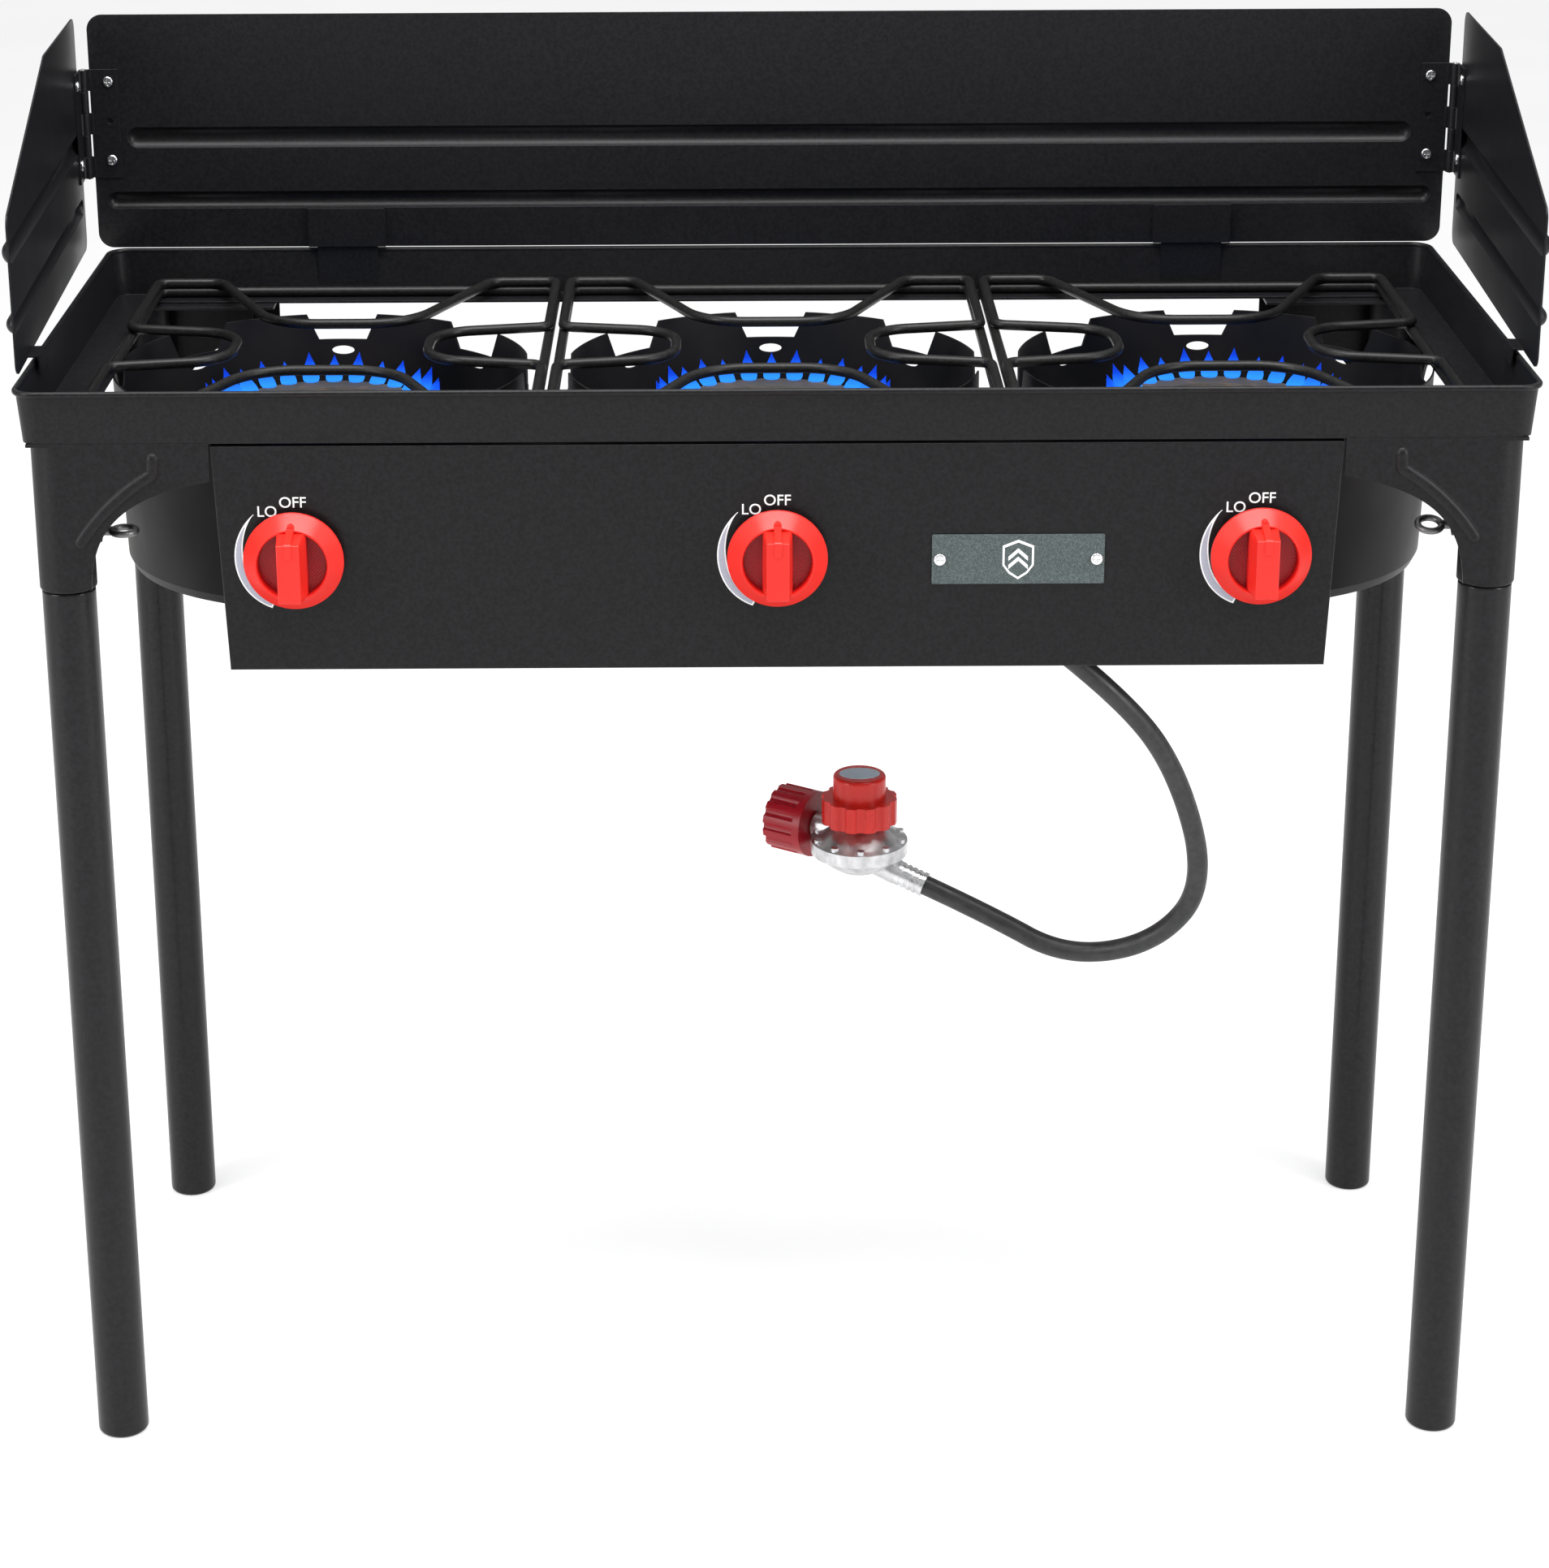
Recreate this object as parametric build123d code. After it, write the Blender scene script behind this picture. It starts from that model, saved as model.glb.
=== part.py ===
"""Three-burner propane stand: folding windscreen, removable legs, regulator and hose.

Millimetres. X runs to the right, Y to the back and Z up. The origin is on the floor, under the middle
of the stand. The controls face -Y.
"""

import os
from math import cos, pi, radians, sin, tan

from build123d import *

# ---------------------------------------------------------------- driving dimensions
TRAY_WIDTH = 965.0
TRAY_DEPTH = 400.0
TRAY_TOP = 754.0
WALL_HEIGHT = 33.5
WALL_FLARE = 3.0
TRAY_CORNER_RADIUS = 11.0
TRAY_SHEET = 1.6
LEDGE_WIDTH = 25.0
LIP_RADIUS = 2.0

LEG_X = 456.0
LEG_Y = 177.0
LEG_RADIUS = 17.2
SPIGOT_RADIUS = 15.6
SHOULDER_Z = 618.5
LEG_WALL = 1.6
LEG_TOP = 700.0
SOCKET_BOTTOM = 619.0
SOCKET_RADIUS = 18.3
SLEEVE_GAP = 0.3
GUSSET_SHEET = 2.0

BURNER_PITCH = 307.5
BURNER_XS = (-BURNER_PITCH, 0.0, BURNER_PITCH)
SIDE_NAMES = ("left", "centre", "right")

CUP_TOP = 718.5
CUP_NOTCH_FLOOR = 700.0
CUP_BOTTOM = 585.0
CUP_TOP_RADIUS = 141.0
CUP_BOTTOM_RADIUS = 136.5
CUP_SHEET = 1.2
CUP_TABS = 8

GRATE_PITCH = 300.0
GRATE_HALF_X = 145.0
GRATE_HALF_Y = 184.0
GRATE_WIRE = 7.0

VALVE_Z = 643.0
PANEL_FACE_Y = -194.6
PANEL_SHEET = 1.2
PANEL_TOP = 717.0
PANEL_BOTTOM = 567.0
PANEL_HALF_TOP = 358.0
PANEL_HALF_BOTTOM = 352.0

KNOB_RADIUS = 32.0
PUSH_TRAVEL = 3.0

BURNER_OUTER = 76.0
BURNER_INNER = 46.0
BURNER_FLOOR = 628.0
BURNER_DECK = 672.0
PORT_COUNT = 28

MANIFOLD_Y = -170.0
MANIFOLD_Z = 614.0
MANIFOLD_RADIUS = 10.0

SCREEN_HALF_WIDTH = 488.5
SCREEN_HEIGHT = 170.0
SCREEN_BOTTOM = 755.0
SCREEN_SHEET = 1.2
SCREEN_FRONT_Y = 196.0
PIN_X = 492.5
PIN_Y = 192.6
PIN_RADIUS = 1.8
PIN_RUNNING_GAP = 0.06
WING_REACH = 366.0
WING_OFFSET = 3.4
WING_TOE = 2.4

HOSE_RADIUS = 7.0
HOSE_ROUTE = (
    (172.0, -170.0, 579.5),
    (216.0, -170.0, 545.0),
    (264.0, -152.0, 484.0),
    (293.0, -124.0, 384.0),
    (261.0, -104.0, 331.0),
    (202.0, -84.0, 312.5),
    (150.0, -62.0, 335.0),
    (106.0, -45.0, 350.5),
)
REGULATOR_CENTRE = (60.0, -28.0, 374.0)

FRAME_SHIFT_Y = 15.25

# ---------------------------------------------------------------- sizes that follow from them
LEDGE_TOP = TRAY_TOP - WALL_HEIGHT
LEDGE_BOTTOM = LEDGE_TOP - TRAY_SHEET
WALL_BASE_HALF_X = TRAY_WIDTH / 2 - LIP_RADIUS - WALL_FLARE
WALL_BASE_HALF_Y = TRAY_DEPTH / 2 - LIP_RADIUS - WALL_FLARE
GUSSET_FACE_Y = LEG_Y + SOCKET_RADIUS
GUSSET_FACE_X = LEG_X + SOCKET_RADIUS
SCREEN_TOP = SCREEN_BOTTOM + SCREEN_HEIGHT


# ---------------------------------------------------------------- helpers
def write(name, shape):
    """Writes one node, moved so that the origin is under the middle of the whole stove's depth."""
    shape = shape.moved(Location((0, FRAME_SHIFT_Y, 0)))
    shape.label = name
    export_step(shape, f"parts/{name}.step")


def group(shapes):
    return Compound(children=list(shapes))


def cylinder_between(start, end, radius):
    """A round bar from one point to another."""
    axis = Vector(*end) - Vector(*start)
    plane = Plane(origin=start, z_dir=axis)
    return extrude(plane * Circle(radius), amount=axis.length)


def tube_between(start, end, radius, bore):
    axis = Vector(*end) - Vector(*start)
    plane = Plane(origin=start, z_dir=axis)
    return extrude(plane * (Circle(radius) - Circle(bore)), amount=axis.length)


def block(x_span, y_span, z_span):
    """A box given by its lowest and highest value along each axis."""
    size = (x_span[1] - x_span[0], y_span[1] - y_span[0], z_span[1] - z_span[0])
    centre = (sum(x_span) / 2, sum(y_span) / 2, sum(z_span) / 2)
    return Pos(*centre) * Box(*size)


def rod(path, radius):
    """A round rod along a line or closed loop."""
    start = path.position_at(0)
    plane = Plane(origin=start, z_dir=path.tangent_at(0))
    return sweep(plane * Circle(radius), path=path)


def hex_bar(start, end, across_flats):
    axis = Vector(*end) - Vector(*start)
    plane = Plane(origin=start, z_dir=axis)
    profile = RegularPolygon(across_flats / 2, 6, major_radius=False)
    return extrude(plane * profile, amount=axis.length)


def pan_screw(head_point, direction, shank_radius=2.0, shank_length=8.0):
    """A pan-head screw. Its head stands on head_point and its shank runs along direction."""
    along = Vector(*direction).normalized()
    seat = Vector(*head_point)
    head_radius = shank_radius * 1.9
    head_height = shank_radius * 0.8
    head = extrude(Plane(origin=seat, z_dir=along * -1) * Circle(head_radius), amount=head_height)
    top = head.faces().sort_by(lambda face: (seat - face.center()).dot(along))[-1]
    head = fillet(top.edges(), head_height * 0.7)
    slot_plane = Plane(origin=seat - along * head_height, z_dir=along)
    head -= extrude(slot_plane * Rectangle(head_radius * 1.2, shank_radius * 0.4), amount=head_height * 0.4)
    head -= extrude(slot_plane * Rectangle(shank_radius * 0.4, head_radius * 1.2), amount=head_height * 0.4)
    shank = extrude(Plane(origin=seat, z_dir=along) * Circle(shank_radius), amount=shank_length)
    return head + shank


def mirrored(shape, flip_x, flip_y):
    if flip_x:
        shape = mirror(shape, about=Plane.YZ)
    if flip_y:
        shape = mirror(shape, about=Plane.XZ)
    return shape


# ---------------------------------------------------------------- tray and legs
def tray_frame():
    """Pressed picture frame: flared wall, rolled lip, flat inner ledge and two tongues at the rear."""

    def flared_block(inset, bottom, top):
        rise = (bottom - LEDGE_BOTTOM) / (TRAY_TOP - LEDGE_BOTTOM)
        low = WALL_FLARE * rise - inset
        rise = (top - LEDGE_BOTTOM) / (TRAY_TOP - LEDGE_BOTTOM)
        high = WALL_FLARE * rise - inset
        faces = []
        for z, grow in ((bottom, low), (top, high)):
            width = 2 * (WALL_BASE_HALF_X + grow)
            depth = 2 * (WALL_BASE_HALF_Y + grow)
            faces.append(Pos(0, 0, z) * RectangleRounded(width, depth, TRAY_CORNER_RADIUS + grow))
        return loft(faces)

    lip_centre_z = TRAY_TOP - LIP_RADIUS
    wall = flared_block(0, LEDGE_BOTTOM, lip_centre_z)
    wall -= flared_block(TRAY_SHEET, LEDGE_TOP, lip_centre_z)
    opening = RectangleRounded(
        2 * (WALL_BASE_HALF_X - LEDGE_WIDTH), 2 * (WALL_BASE_HALF_Y - LEDGE_WIDTH), LIP_RADIUS
    )
    wall -= extrude(Pos(0, 0, LEDGE_BOTTOM) * opening, amount=WALL_HEIGHT)
    lip_width = TRAY_WIDTH - 2 * LIP_RADIUS
    lip_depth = TRAY_DEPTH - 2 * LIP_RADIUS
    ring = extrude(
        Pos(0, 0, TRAY_TOP - 2 * LIP_RADIUS)
        * (
            RectangleRounded(lip_width + 2 * LIP_RADIUS, lip_depth + 2 * LIP_RADIUS, TRAY_CORNER_RADIUS + 5)
            - RectangleRounded(lip_width - 2 * LIP_RADIUS, lip_depth - 2 * LIP_RADIUS, TRAY_CORNER_RADIUS + 1)
        ),
        amount=2 * LIP_RADIUS,
    )
    ring = fillet(ring.edges().filter_by(lambda e: abs(e.tangent_at(0.5).Z) < 0.1), LIP_RADIUS * 0.92)
    frame = wall + ring
    for side in (-1, 1):
        frame += screen_tongue(side)
    return frame


TONGUE_WIDTH = 44.0
TONGUE_SHEET = 1.5
TONGUE_TOP = 776.0
POCKET_DEPTH = 2.6


def screen_tongue(side):
    """A flat tongue welded inside the rear wall, which stands up into the windscreen's pocket."""
    x = side * BURNER_PITCH
    rear = SCREEN_FRONT_Y - 0.4
    tongue = block(
        (x - TONGUE_WIDTH / 2, x + TONGUE_WIDTH / 2),
        (rear - TONGUE_SHEET, rear),
        (TRAY_TOP - 28.0, TONGUE_TOP),
    )
    top_edges = tongue.edges().filter_by(Axis.Y).group_by(Axis.Z)[-1]
    return fillet(top_edges, 6.0)


GUSSET_REACH = 97.0
SIDE_GUSSET_REACH = 78.0


def gusset_outline(reach):
    """Web of a corner bracket, in the plane of the web: u from the leg's axis inwards, v is height."""
    top = LEDGE_BOTTOM
    edge = SOCKET_RADIUS - 0.3
    foot = SOCKET_BOTTOM + 3.0
    tip = top - 25.0
    curve = Bezier((reach, tip), (reach * 0.42, tip - 9.0), (edge + 1.5, foot + 40.0), (edge, foot))
    lines = Polyline((edge, foot), (0, foot), (0, top), (reach, top), (reach, tip))
    return make_face(curve + lines)


BEAD_HALF_WIDTH = 4.3
BEAD_RISE = 2.3
BEAD_RADIUS = (BEAD_HALF_WIDTH**2 + BEAD_RISE**2) / (2 * BEAD_RISE)
BEAD_STUB = ((61.0, 708.5), (60.5, 699.0))
BEAD_ARC = ((57.0, 696.5), (33.5, 678.5), (12.5, 653.5))
SOCKET_ROUNDING = 1.4


def stiffening_bead():
    """Bead pressed out of the front web: a short upright stub, then an arc down towards the socket. It is the
    part of a round rod that stands in front of the web."""
    depth = -GUSSET_FACE_Y + BEAD_RADIUS - BEAD_RISE
    stub = [(-LEG_X + u, depth, v) for u, v in BEAD_STUB]
    arc = [(-LEG_X + u, depth, v) for u, v in BEAD_ARC]
    bead = cylinder_between(stub[0], stub[1], BEAD_RADIUS)
    bead += rod(ThreePointArc(*arc), BEAD_RADIUS)
    bead += cylinder_between(stub[1], arc[0], BEAD_RADIUS)
    for joint in (stub[0], stub[1], arc[0], arc[2]):
        bead += Pos(*joint) * Sphere(BEAD_RADIUS)
    middle = -GUSSET_FACE_Y + GUSSET_SHEET / 2
    front = block((-LEG_X, -LEG_X + GUSSET_REACH), (middle - BEAD_RADIUS * 2, middle), (640.0, 715.0))
    return bead & front


def corner_bracket(flip_x, flip_y):
    """Leg socket with a front web, a side web and a flange that carries the tray."""
    socket = tube_between(
        (-LEG_X, -LEG_Y, SOCKET_BOTTOM),
        (-LEG_X, -LEG_Y, LEDGE_BOTTOM),
        SOCKET_RADIUS,
        SPIGOT_RADIUS + SLEEVE_GAP,
    )
    rims = socket.edges().filter_by(GeomType.CIRCLE).group_by(Axis.Z)[0]
    socket = fillet(rims.sort_by(SortBy.LENGTH)[-1], SOCKET_ROUNDING)
    front_plane = Plane(origin=(-LEG_X, -GUSSET_FACE_Y, 0), x_dir=(1, 0, 0), z_dir=(0, -1, 0))
    front_web = extrude(front_plane * gusset_outline(GUSSET_REACH), amount=-GUSSET_SHEET)
    side_plane = Plane(origin=(-GUSSET_FACE_X, -LEG_Y, 0), x_dir=(0, 1, 0), z_dir=(1, 0, 0))
    side_web = extrude(side_plane * gusset_outline(SIDE_GUSSET_REACH), amount=GUSSET_SHEET)
    flange = block(
        (-GUSSET_FACE_X, -LEG_X + GUSSET_REACH),
        (-GUSSET_FACE_Y, -LEG_Y + SOCKET_RADIUS),
        (LEDGE_BOTTOM - GUSSET_SHEET, LEDGE_BOTTOM),
    )
    flange -= extrude(
        Pos(-LEG_X, -LEG_Y, LEDGE_BOTTOM - GUSSET_SHEET) * Circle(SPIGOT_RADIUS + SLEEVE_GAP),
        amount=GUSSET_SHEET,
    )
    nut = hex_bar(
        (-LEG_X + SOCKET_RADIUS - 1.0, -LEG_Y, EYE_Z), (-LEG_X + SOCKET_RADIUS + 5.0, -LEG_Y, EYE_Z), 13.0
    )
    bracket = socket + front_web + side_web + flange + stiffening_bead() + nut
    bore = cylinder_between(
        (-LEG_X, -LEG_Y, EYE_Z), (-LEG_X + SOCKET_RADIUS + 8.0, -LEG_Y, EYE_Z), EYE_SHANK + 0.2
    )
    bracket -= bore
    bracket -= cylinder_between(
        (-LEG_X, -LEG_Y, SOCKET_BOTTOM - 1), (-LEG_X, -LEG_Y, LEDGE_BOTTOM), SPIGOT_RADIUS + SLEEVE_GAP
    )
    return mirrored(bracket, flip_x, flip_y)


EYE_Z = 656.0
EYE_SHANK = 3.0
EYE_RING = 7.5
EYE_WIRE = 2.2
EYE_LEAN = (0.03, 0.32)
EYE_BACKED_OFF = 1.15


def eye_screw(flip_x, flip_y):
    """Thumb screw with a bent ring, which clamps a leg in its socket, drawn backed off so the leg slides."""
    tip_x = -LEG_X + SPIGOT_RADIUS + EYE_BACKED_OFF
    ring_x = -LEG_X + SOCKET_RADIUS + 12.0 + EYE_RING
    shank = cylinder_between((tip_x, -LEG_Y, EYE_Z), (ring_x - EYE_RING + 1.0, -LEG_Y, EYE_Z), EYE_SHANK)
    lean = EYE_LEAN[1] if flip_x else EYE_LEAN[0]
    ring_plane = Plane(origin=(ring_x, -LEG_Y, EYE_Z), x_dir=(1, 0, 0), z_dir=(0, -lean, 1))
    ring = ring_plane * Torus(EYE_RING, EYE_WIRE)
    return mirrored(shank + ring, flip_x, flip_y)


SHOULDER_ROUNDING = 1.5


def leg(flip_x, flip_y):
    """Round tube with a closed foot, swaged down to a narrower spigot above a rounded shoulder."""
    tube = tube_between(
        (-LEG_X, -LEG_Y, 6.0),
        (-LEG_X, -LEG_Y, SHOULDER_Z),
        LEG_RADIUS,
        LEG_RADIUS - LEG_WALL,
    )
    swage = tube_between(
        (-LEG_X, -LEG_Y, SHOULDER_Z - 8.0),
        (-LEG_X, -LEG_Y, SHOULDER_Z),
        LEG_RADIUS,
        SPIGOT_RADIUS - LEG_WALL,
    )
    tube += swage
    rims = tube.edges().filter_by(GeomType.CIRCLE).group_by(Axis.Z)[-1]
    tube = fillet(rims.sort_by(SortBy.LENGTH)[-1], SHOULDER_ROUNDING)
    spigot_low = (-LEG_X, -LEG_Y, SHOULDER_Z - 1.0)
    tube += tube_between(spigot_low, (-LEG_X, -LEG_Y, LEG_TOP), SPIGOT_RADIUS, SPIGOT_RADIUS - LEG_WALL)
    foot = cylinder_between((-LEG_X, -LEG_Y, 0), (-LEG_X, -LEG_Y, 12.0), LEG_RADIUS)
    foot = fillet(foot.edges().group_by(Axis.Z)[0], 3.0)
    return mirrored(tube + foot, flip_x, flip_y)


RAIL_Y = 172.0
RAIL_BAND = (594.0, 616.0)
RAIL_END_X = 396.0
STRAP_WIDTH = 20.0
RAIL_BOLT_Z = 605.0
BOLT_SHANK = 2.9
BOLT_HOLE = 3.2


def rear_rail():
    """Flat bar under the rear ledge, with ends turned up to the ledge."""
    foot_top = LEDGE_BOTTOM - GUSSET_SHEET
    rail = block((-RAIL_END_X, RAIL_END_X), (RAIL_Y, RAIL_Y + GUSSET_SHEET), RAIL_BAND)
    for side in (-1, 1):
        outer = side * RAIL_END_X
        inner = side * (RAIL_END_X - STRAP_WIDTH)
        rail += block(
            (min(outer, inner), max(outer, inner)),
            (RAIL_Y, RAIL_Y + GUSSET_SHEET),
            (RAIL_BAND[0], foot_top),
        )
        rail += block(
            (min(outer, inner), max(outer, inner)),
            (RAIL_Y, RAIL_Y + 16.0),
            (foot_top - GUSSET_SHEET, foot_top),
        )
    for x in BURNER_XS:
        behind = RAIL_Y + GUSSET_SHEET + 1
        rail -= cylinder_between((x, RAIL_Y - 1, RAIL_BOLT_Z), (x, behind, RAIL_BOLT_Z), BOLT_HOLE)
    return rail


# ---------------------------------------------------------------- control panel
FLANGE_DEPTH = 11.0
LABEL_X = 153.5
LABEL_Z = 640.0
LABEL_SIZE = (110.0, 33.0)
LABEL_SHEET = 1.0
LABEL_SCREW_SPREAD = 50.0
LABEL_SCREW_SHANK = 2.1
LABEL_SCREW_HOLE = 2.2


def control_panel():
    """Folded sheet: front face with three shaft holes, side flanges, bottom flange and top flange."""
    back = PANEL_FACE_Y + PANEL_SHEET
    outline = Polyline(
        (-PANEL_HALF_BOTTOM, PANEL_BOTTOM),
        (PANEL_HALF_BOTTOM, PANEL_BOTTOM),
        (PANEL_HALF_TOP, PANEL_TOP),
        (-PANEL_HALF_TOP, PANEL_TOP),
        close=True,
    )
    plane = Plane(origin=(0, PANEL_FACE_Y, 0), x_dir=(1, 0, 0), z_dir=(0, -1, 0))
    shell = extrude(plane * make_face(outline), amount=-FLANGE_DEPTH)
    inner = Polyline(
        (-PANEL_HALF_BOTTOM + PANEL_SHEET, PANEL_BOTTOM + PANEL_SHEET),
        (PANEL_HALF_BOTTOM - PANEL_SHEET, PANEL_BOTTOM + PANEL_SHEET),
        (PANEL_HALF_TOP - PANEL_SHEET, PANEL_TOP - PANEL_SHEET),
        (-PANEL_HALF_TOP + PANEL_SHEET, PANEL_TOP - PANEL_SHEET),
        close=True,
    )
    inner_plane = Plane(origin=(0, back, 0), x_dir=(1, 0, 0), z_dir=(0, -1, 0))
    shell = fillet(shell.faces().sort_by(Axis.Y)[0].edges(), 1.1)
    shell -= extrude(inner_plane * make_face(inner), amount=-FLANGE_DEPTH)
    for x in BURNER_XS:
        shell -= cylinder_between((x, PANEL_FACE_Y - 1, VALVE_Z), (x, back + 1, VALVE_Z), STEM_RADIUS + 1.5)
    for side in (-1, 1):
        x = LABEL_X + side * LABEL_SCREW_SPREAD
        shell -= cylinder_between((x, PANEL_FACE_Y - 1, LABEL_Z), (x, back + 1, LABEL_Z), LABEL_SCREW_HOLE)
    return shell


def label_plate():
    """Plain name plate with a hole for a screw at each end."""
    face_y = PANEL_FACE_Y - LABEL_SHEET
    plane = Plane(origin=(LABEL_X, face_y, LABEL_Z), x_dir=(1, 0, 0), z_dir=(0, -1, 0))
    plate = extrude(plane * RectangleRounded(*LABEL_SIZE, 1.0), amount=-LABEL_SHEET)
    for side in (-1, 1):
        x = LABEL_X + side * LABEL_SCREW_SPREAD
        behind = (x, PANEL_FACE_Y + 1, LABEL_Z)
        plate -= cylinder_between((x, face_y - 1, LABEL_Z), behind, LABEL_SCREW_HOLE)
    return plate


def label_screws():
    y = PANEL_FACE_Y - LABEL_SHEET
    return group(
        pan_screw((LABEL_X + side * LABEL_SCREW_SPREAD, y, LABEL_Z), (0, 1, 0), LABEL_SCREW_SHANK, 6.0)
        for side in (-1, 1)
    )


# ---------------------------------------------------------------- wind cups and their supports
def cup_radius(z):
    share = (z - CUP_BOTTOM) / (CUP_TOP - CUP_BOTTOM)
    return CUP_BOTTOM_RADIUS + (CUP_TOP_RADIUS - CUP_BOTTOM_RADIUS) * share


TUBE_HOLE_RADIUS = 21.0
CUP_CENTRE_HOLE = 38.0


def wind_cup(x):
    """Deep sheet cup with eight bent-out tabs at its rim and a small vent under every notch."""
    corner = 9.0
    outer = Polyline(
        (CUP_CENTRE_HOLE, CUP_BOTTOM),
        (CUP_BOTTOM_RADIUS - corner, CUP_BOTTOM),
        (CUP_BOTTOM_RADIUS - corner * 0.3, CUP_BOTTOM + corner * 0.3),
        (cup_radius(CUP_BOTTOM + corner), CUP_BOTTOM + corner),
        (CUP_TOP_RADIUS, CUP_TOP),
        (CUP_TOP_RADIUS - CUP_SHEET, CUP_TOP),
        (cup_radius(CUP_BOTTOM + corner) - CUP_SHEET, CUP_BOTTOM + corner + 0.3),
        (CUP_BOTTOM_RADIUS - corner * 0.3 - CUP_SHEET, CUP_BOTTOM + corner * 0.3 + CUP_SHEET),
        (CUP_BOTTOM_RADIUS - corner, CUP_BOTTOM + CUP_SHEET),
        (CUP_CENTRE_HOLE, CUP_BOTTOM + CUP_SHEET),
        close=True,
    )
    cup = revolve(Plane.XZ * make_face(outer), axis=Axis.Z)
    notch_outline = Polyline(
        (-17.0, CUP_NOTCH_FLOOR),
        (17.0, CUP_NOTCH_FLOOR),
        (27.0, CUP_TOP + 4.0),
        (-27.0, CUP_TOP + 4.0),
        close=True,
    )
    notch_plane = Plane(origin=(0, -CUP_TOP_RADIUS - 6, 0), x_dir=(1, 0, 0), z_dir=(0, -1, 0))
    notch = extrude(notch_plane * make_face(notch_outline), amount=-14.0)
    vent_outline = Ellipse(8.0, 3.2)
    vent_place = (0, -CUP_TOP_RADIUS - 6, CUP_NOTCH_FLOOR - 8.0)
    vent_plane = Plane(origin=vent_place, x_dir=(1, 0, 0), z_dir=(0, -1, 0))
    vent = extrude(vent_plane * vent_outline, amount=-14.0)
    for turn in range(CUP_TABS):
        cut = Rot(0, 0, turn * 360.0 / CUP_TABS)
        cup -= cut * notch
        cup -= cut * vent
    in_front = -CUP_TOP_RADIUS - 5
    cup -= cylinder_between((0, in_front, VALVE_Z), (0, in_front + 30, VALVE_Z), TUBE_HOLE_RADIUS)
    for foot in (*pillar_feet(), (0, FRONT_BOLT_Y)):
        cup -= cylinder_between((*foot, CUP_BOTTOM - 1), (*foot, CUP_BOTTOM + 3), BOLT_HOLE)
    return Pos(x, 0, 0) * cup


PILLAR_COUNT = 3
PILLAR_CIRCLE = 61.0
PILLAR_RADIUS = 6.0
FRONT_BOLT_Y = -100.0
ARM_WIDTH = 24.0
ARM_SHEET = 2.0
FRONT_ARM_Y = -176.0


def pillar_feet():
    """Where the burner's three pillars stand, from the middle of the burner. The first is the rear one."""
    angles = [radians(90.0 + turn * 360.0 / PILLAR_COUNT) for turn in range(PILLAR_COUNT)]
    return [(PILLAR_CIRCLE * cos(angle), PILLAR_CIRCLE * sin(angle)) for angle in angles]


def cup_arm(x, foot_y, foot_z, inner_y, turn_up):
    """Flat bar bolted under a cup, with an end that turns to its support."""
    top = CUP_BOTTOM
    low = min(foot_y, inner_y)
    high = max(foot_y, inner_y)
    arm = block((x - ARM_WIDTH / 2, x + ARM_WIDTH / 2), (low, high), (top - ARM_SHEET, top))
    end = (foot_y, foot_y + ARM_SHEET) if foot_y < inner_y else (foot_y - ARM_SHEET, foot_y)
    span = (top - ARM_SHEET, foot_z) if turn_up else (foot_z, top)
    arm += block((x - ARM_WIDTH / 2, x + ARM_WIDTH / 2), end, span)
    if not turn_up:
        arm += block(
            (x - ARM_WIDTH / 2, x + ARM_WIDTH / 2),
            (foot_y - 9.0, foot_y + ARM_SHEET),
            (foot_z, foot_z + ARM_SHEET),
        )
    return arm


def cup_arms():
    """Three front arms that stand on the panel's flange, and three rear arms that meet the rail."""
    arms = []
    for x in BURNER_XS:
        front = cup_arm(x, FRONT_ARM_Y, PANEL_BOTTOM + PANEL_SHEET, -85.0, False)
        arms.append(front - upright_hole(x, FRONT_BOLT_Y))
        rear = cup_arm(x, RAIL_Y, RAIL_BAND[1], 50.0, True)
        in_front = RAIL_Y - ARM_SHEET - 1
        rear -= cylinder_between((x, in_front, RAIL_BOLT_Z), (x, RAIL_Y + 1, RAIL_BOLT_Z), BOLT_HOLE)
        arms.append(rear - upright_hole(x, PILLAR_CIRCLE))
    return group(arms)


def upright_hole(x, y):
    return cylinder_between((x, y, CUP_BOTTOM - ARM_SHEET - 1), (x, y, CUP_BOTTOM + 1), BOLT_HOLE)


def support_bolts():
    """Hexagon bolts of the rear rail, cup arms and burner pillars."""
    bolts = []
    for x in BURNER_XS:
        rear_foot, *front_feet = pillar_feet()
        on_arm = CUP_BOTTOM - ARM_SHEET
        bolts.append(upright_bolt(x + rear_foot[0], rear_foot[1], on_arm, 11.0))
        bolts.append(upright_bolt(x, FRONT_BOLT_Y, on_arm, 6.0))
        for foot in front_feet:
            bolts.append(upright_bolt(x + foot[0], foot[1], CUP_BOTTOM, 9.0))
        outer_face = RAIL_Y + GUSSET_SHEET
        rail_bolt = hex_bar((x, outer_face + 4.0, RAIL_BOLT_Z), (x, outer_face, RAIL_BOLT_Z), 10.0)
        shank_end = (x, RAIL_Y - 7.0, RAIL_BOLT_Z)
        rail_bolt += cylinder_between((x, outer_face + 1, RAIL_BOLT_Z), shank_end, BOLT_SHANK)
        bolts.append(rail_bolt)
    return group(bolts)


def upright_bolt(x, y, seat, reach):
    """A bolt pushed up from below, with its head against the seat."""
    head = hex_bar((x, y, seat - 4.0), (x, y, seat), 10.0)
    return head + cylinder_between((x, y, seat - 1.0), (x, y, seat + reach), BOLT_SHANK)


# ---------------------------------------------------------------- burners
MIXER_RADIUS = 15.0
MIXER_WALL = 2.5
MIXER_MOUTH_Y = -144.0


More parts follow.
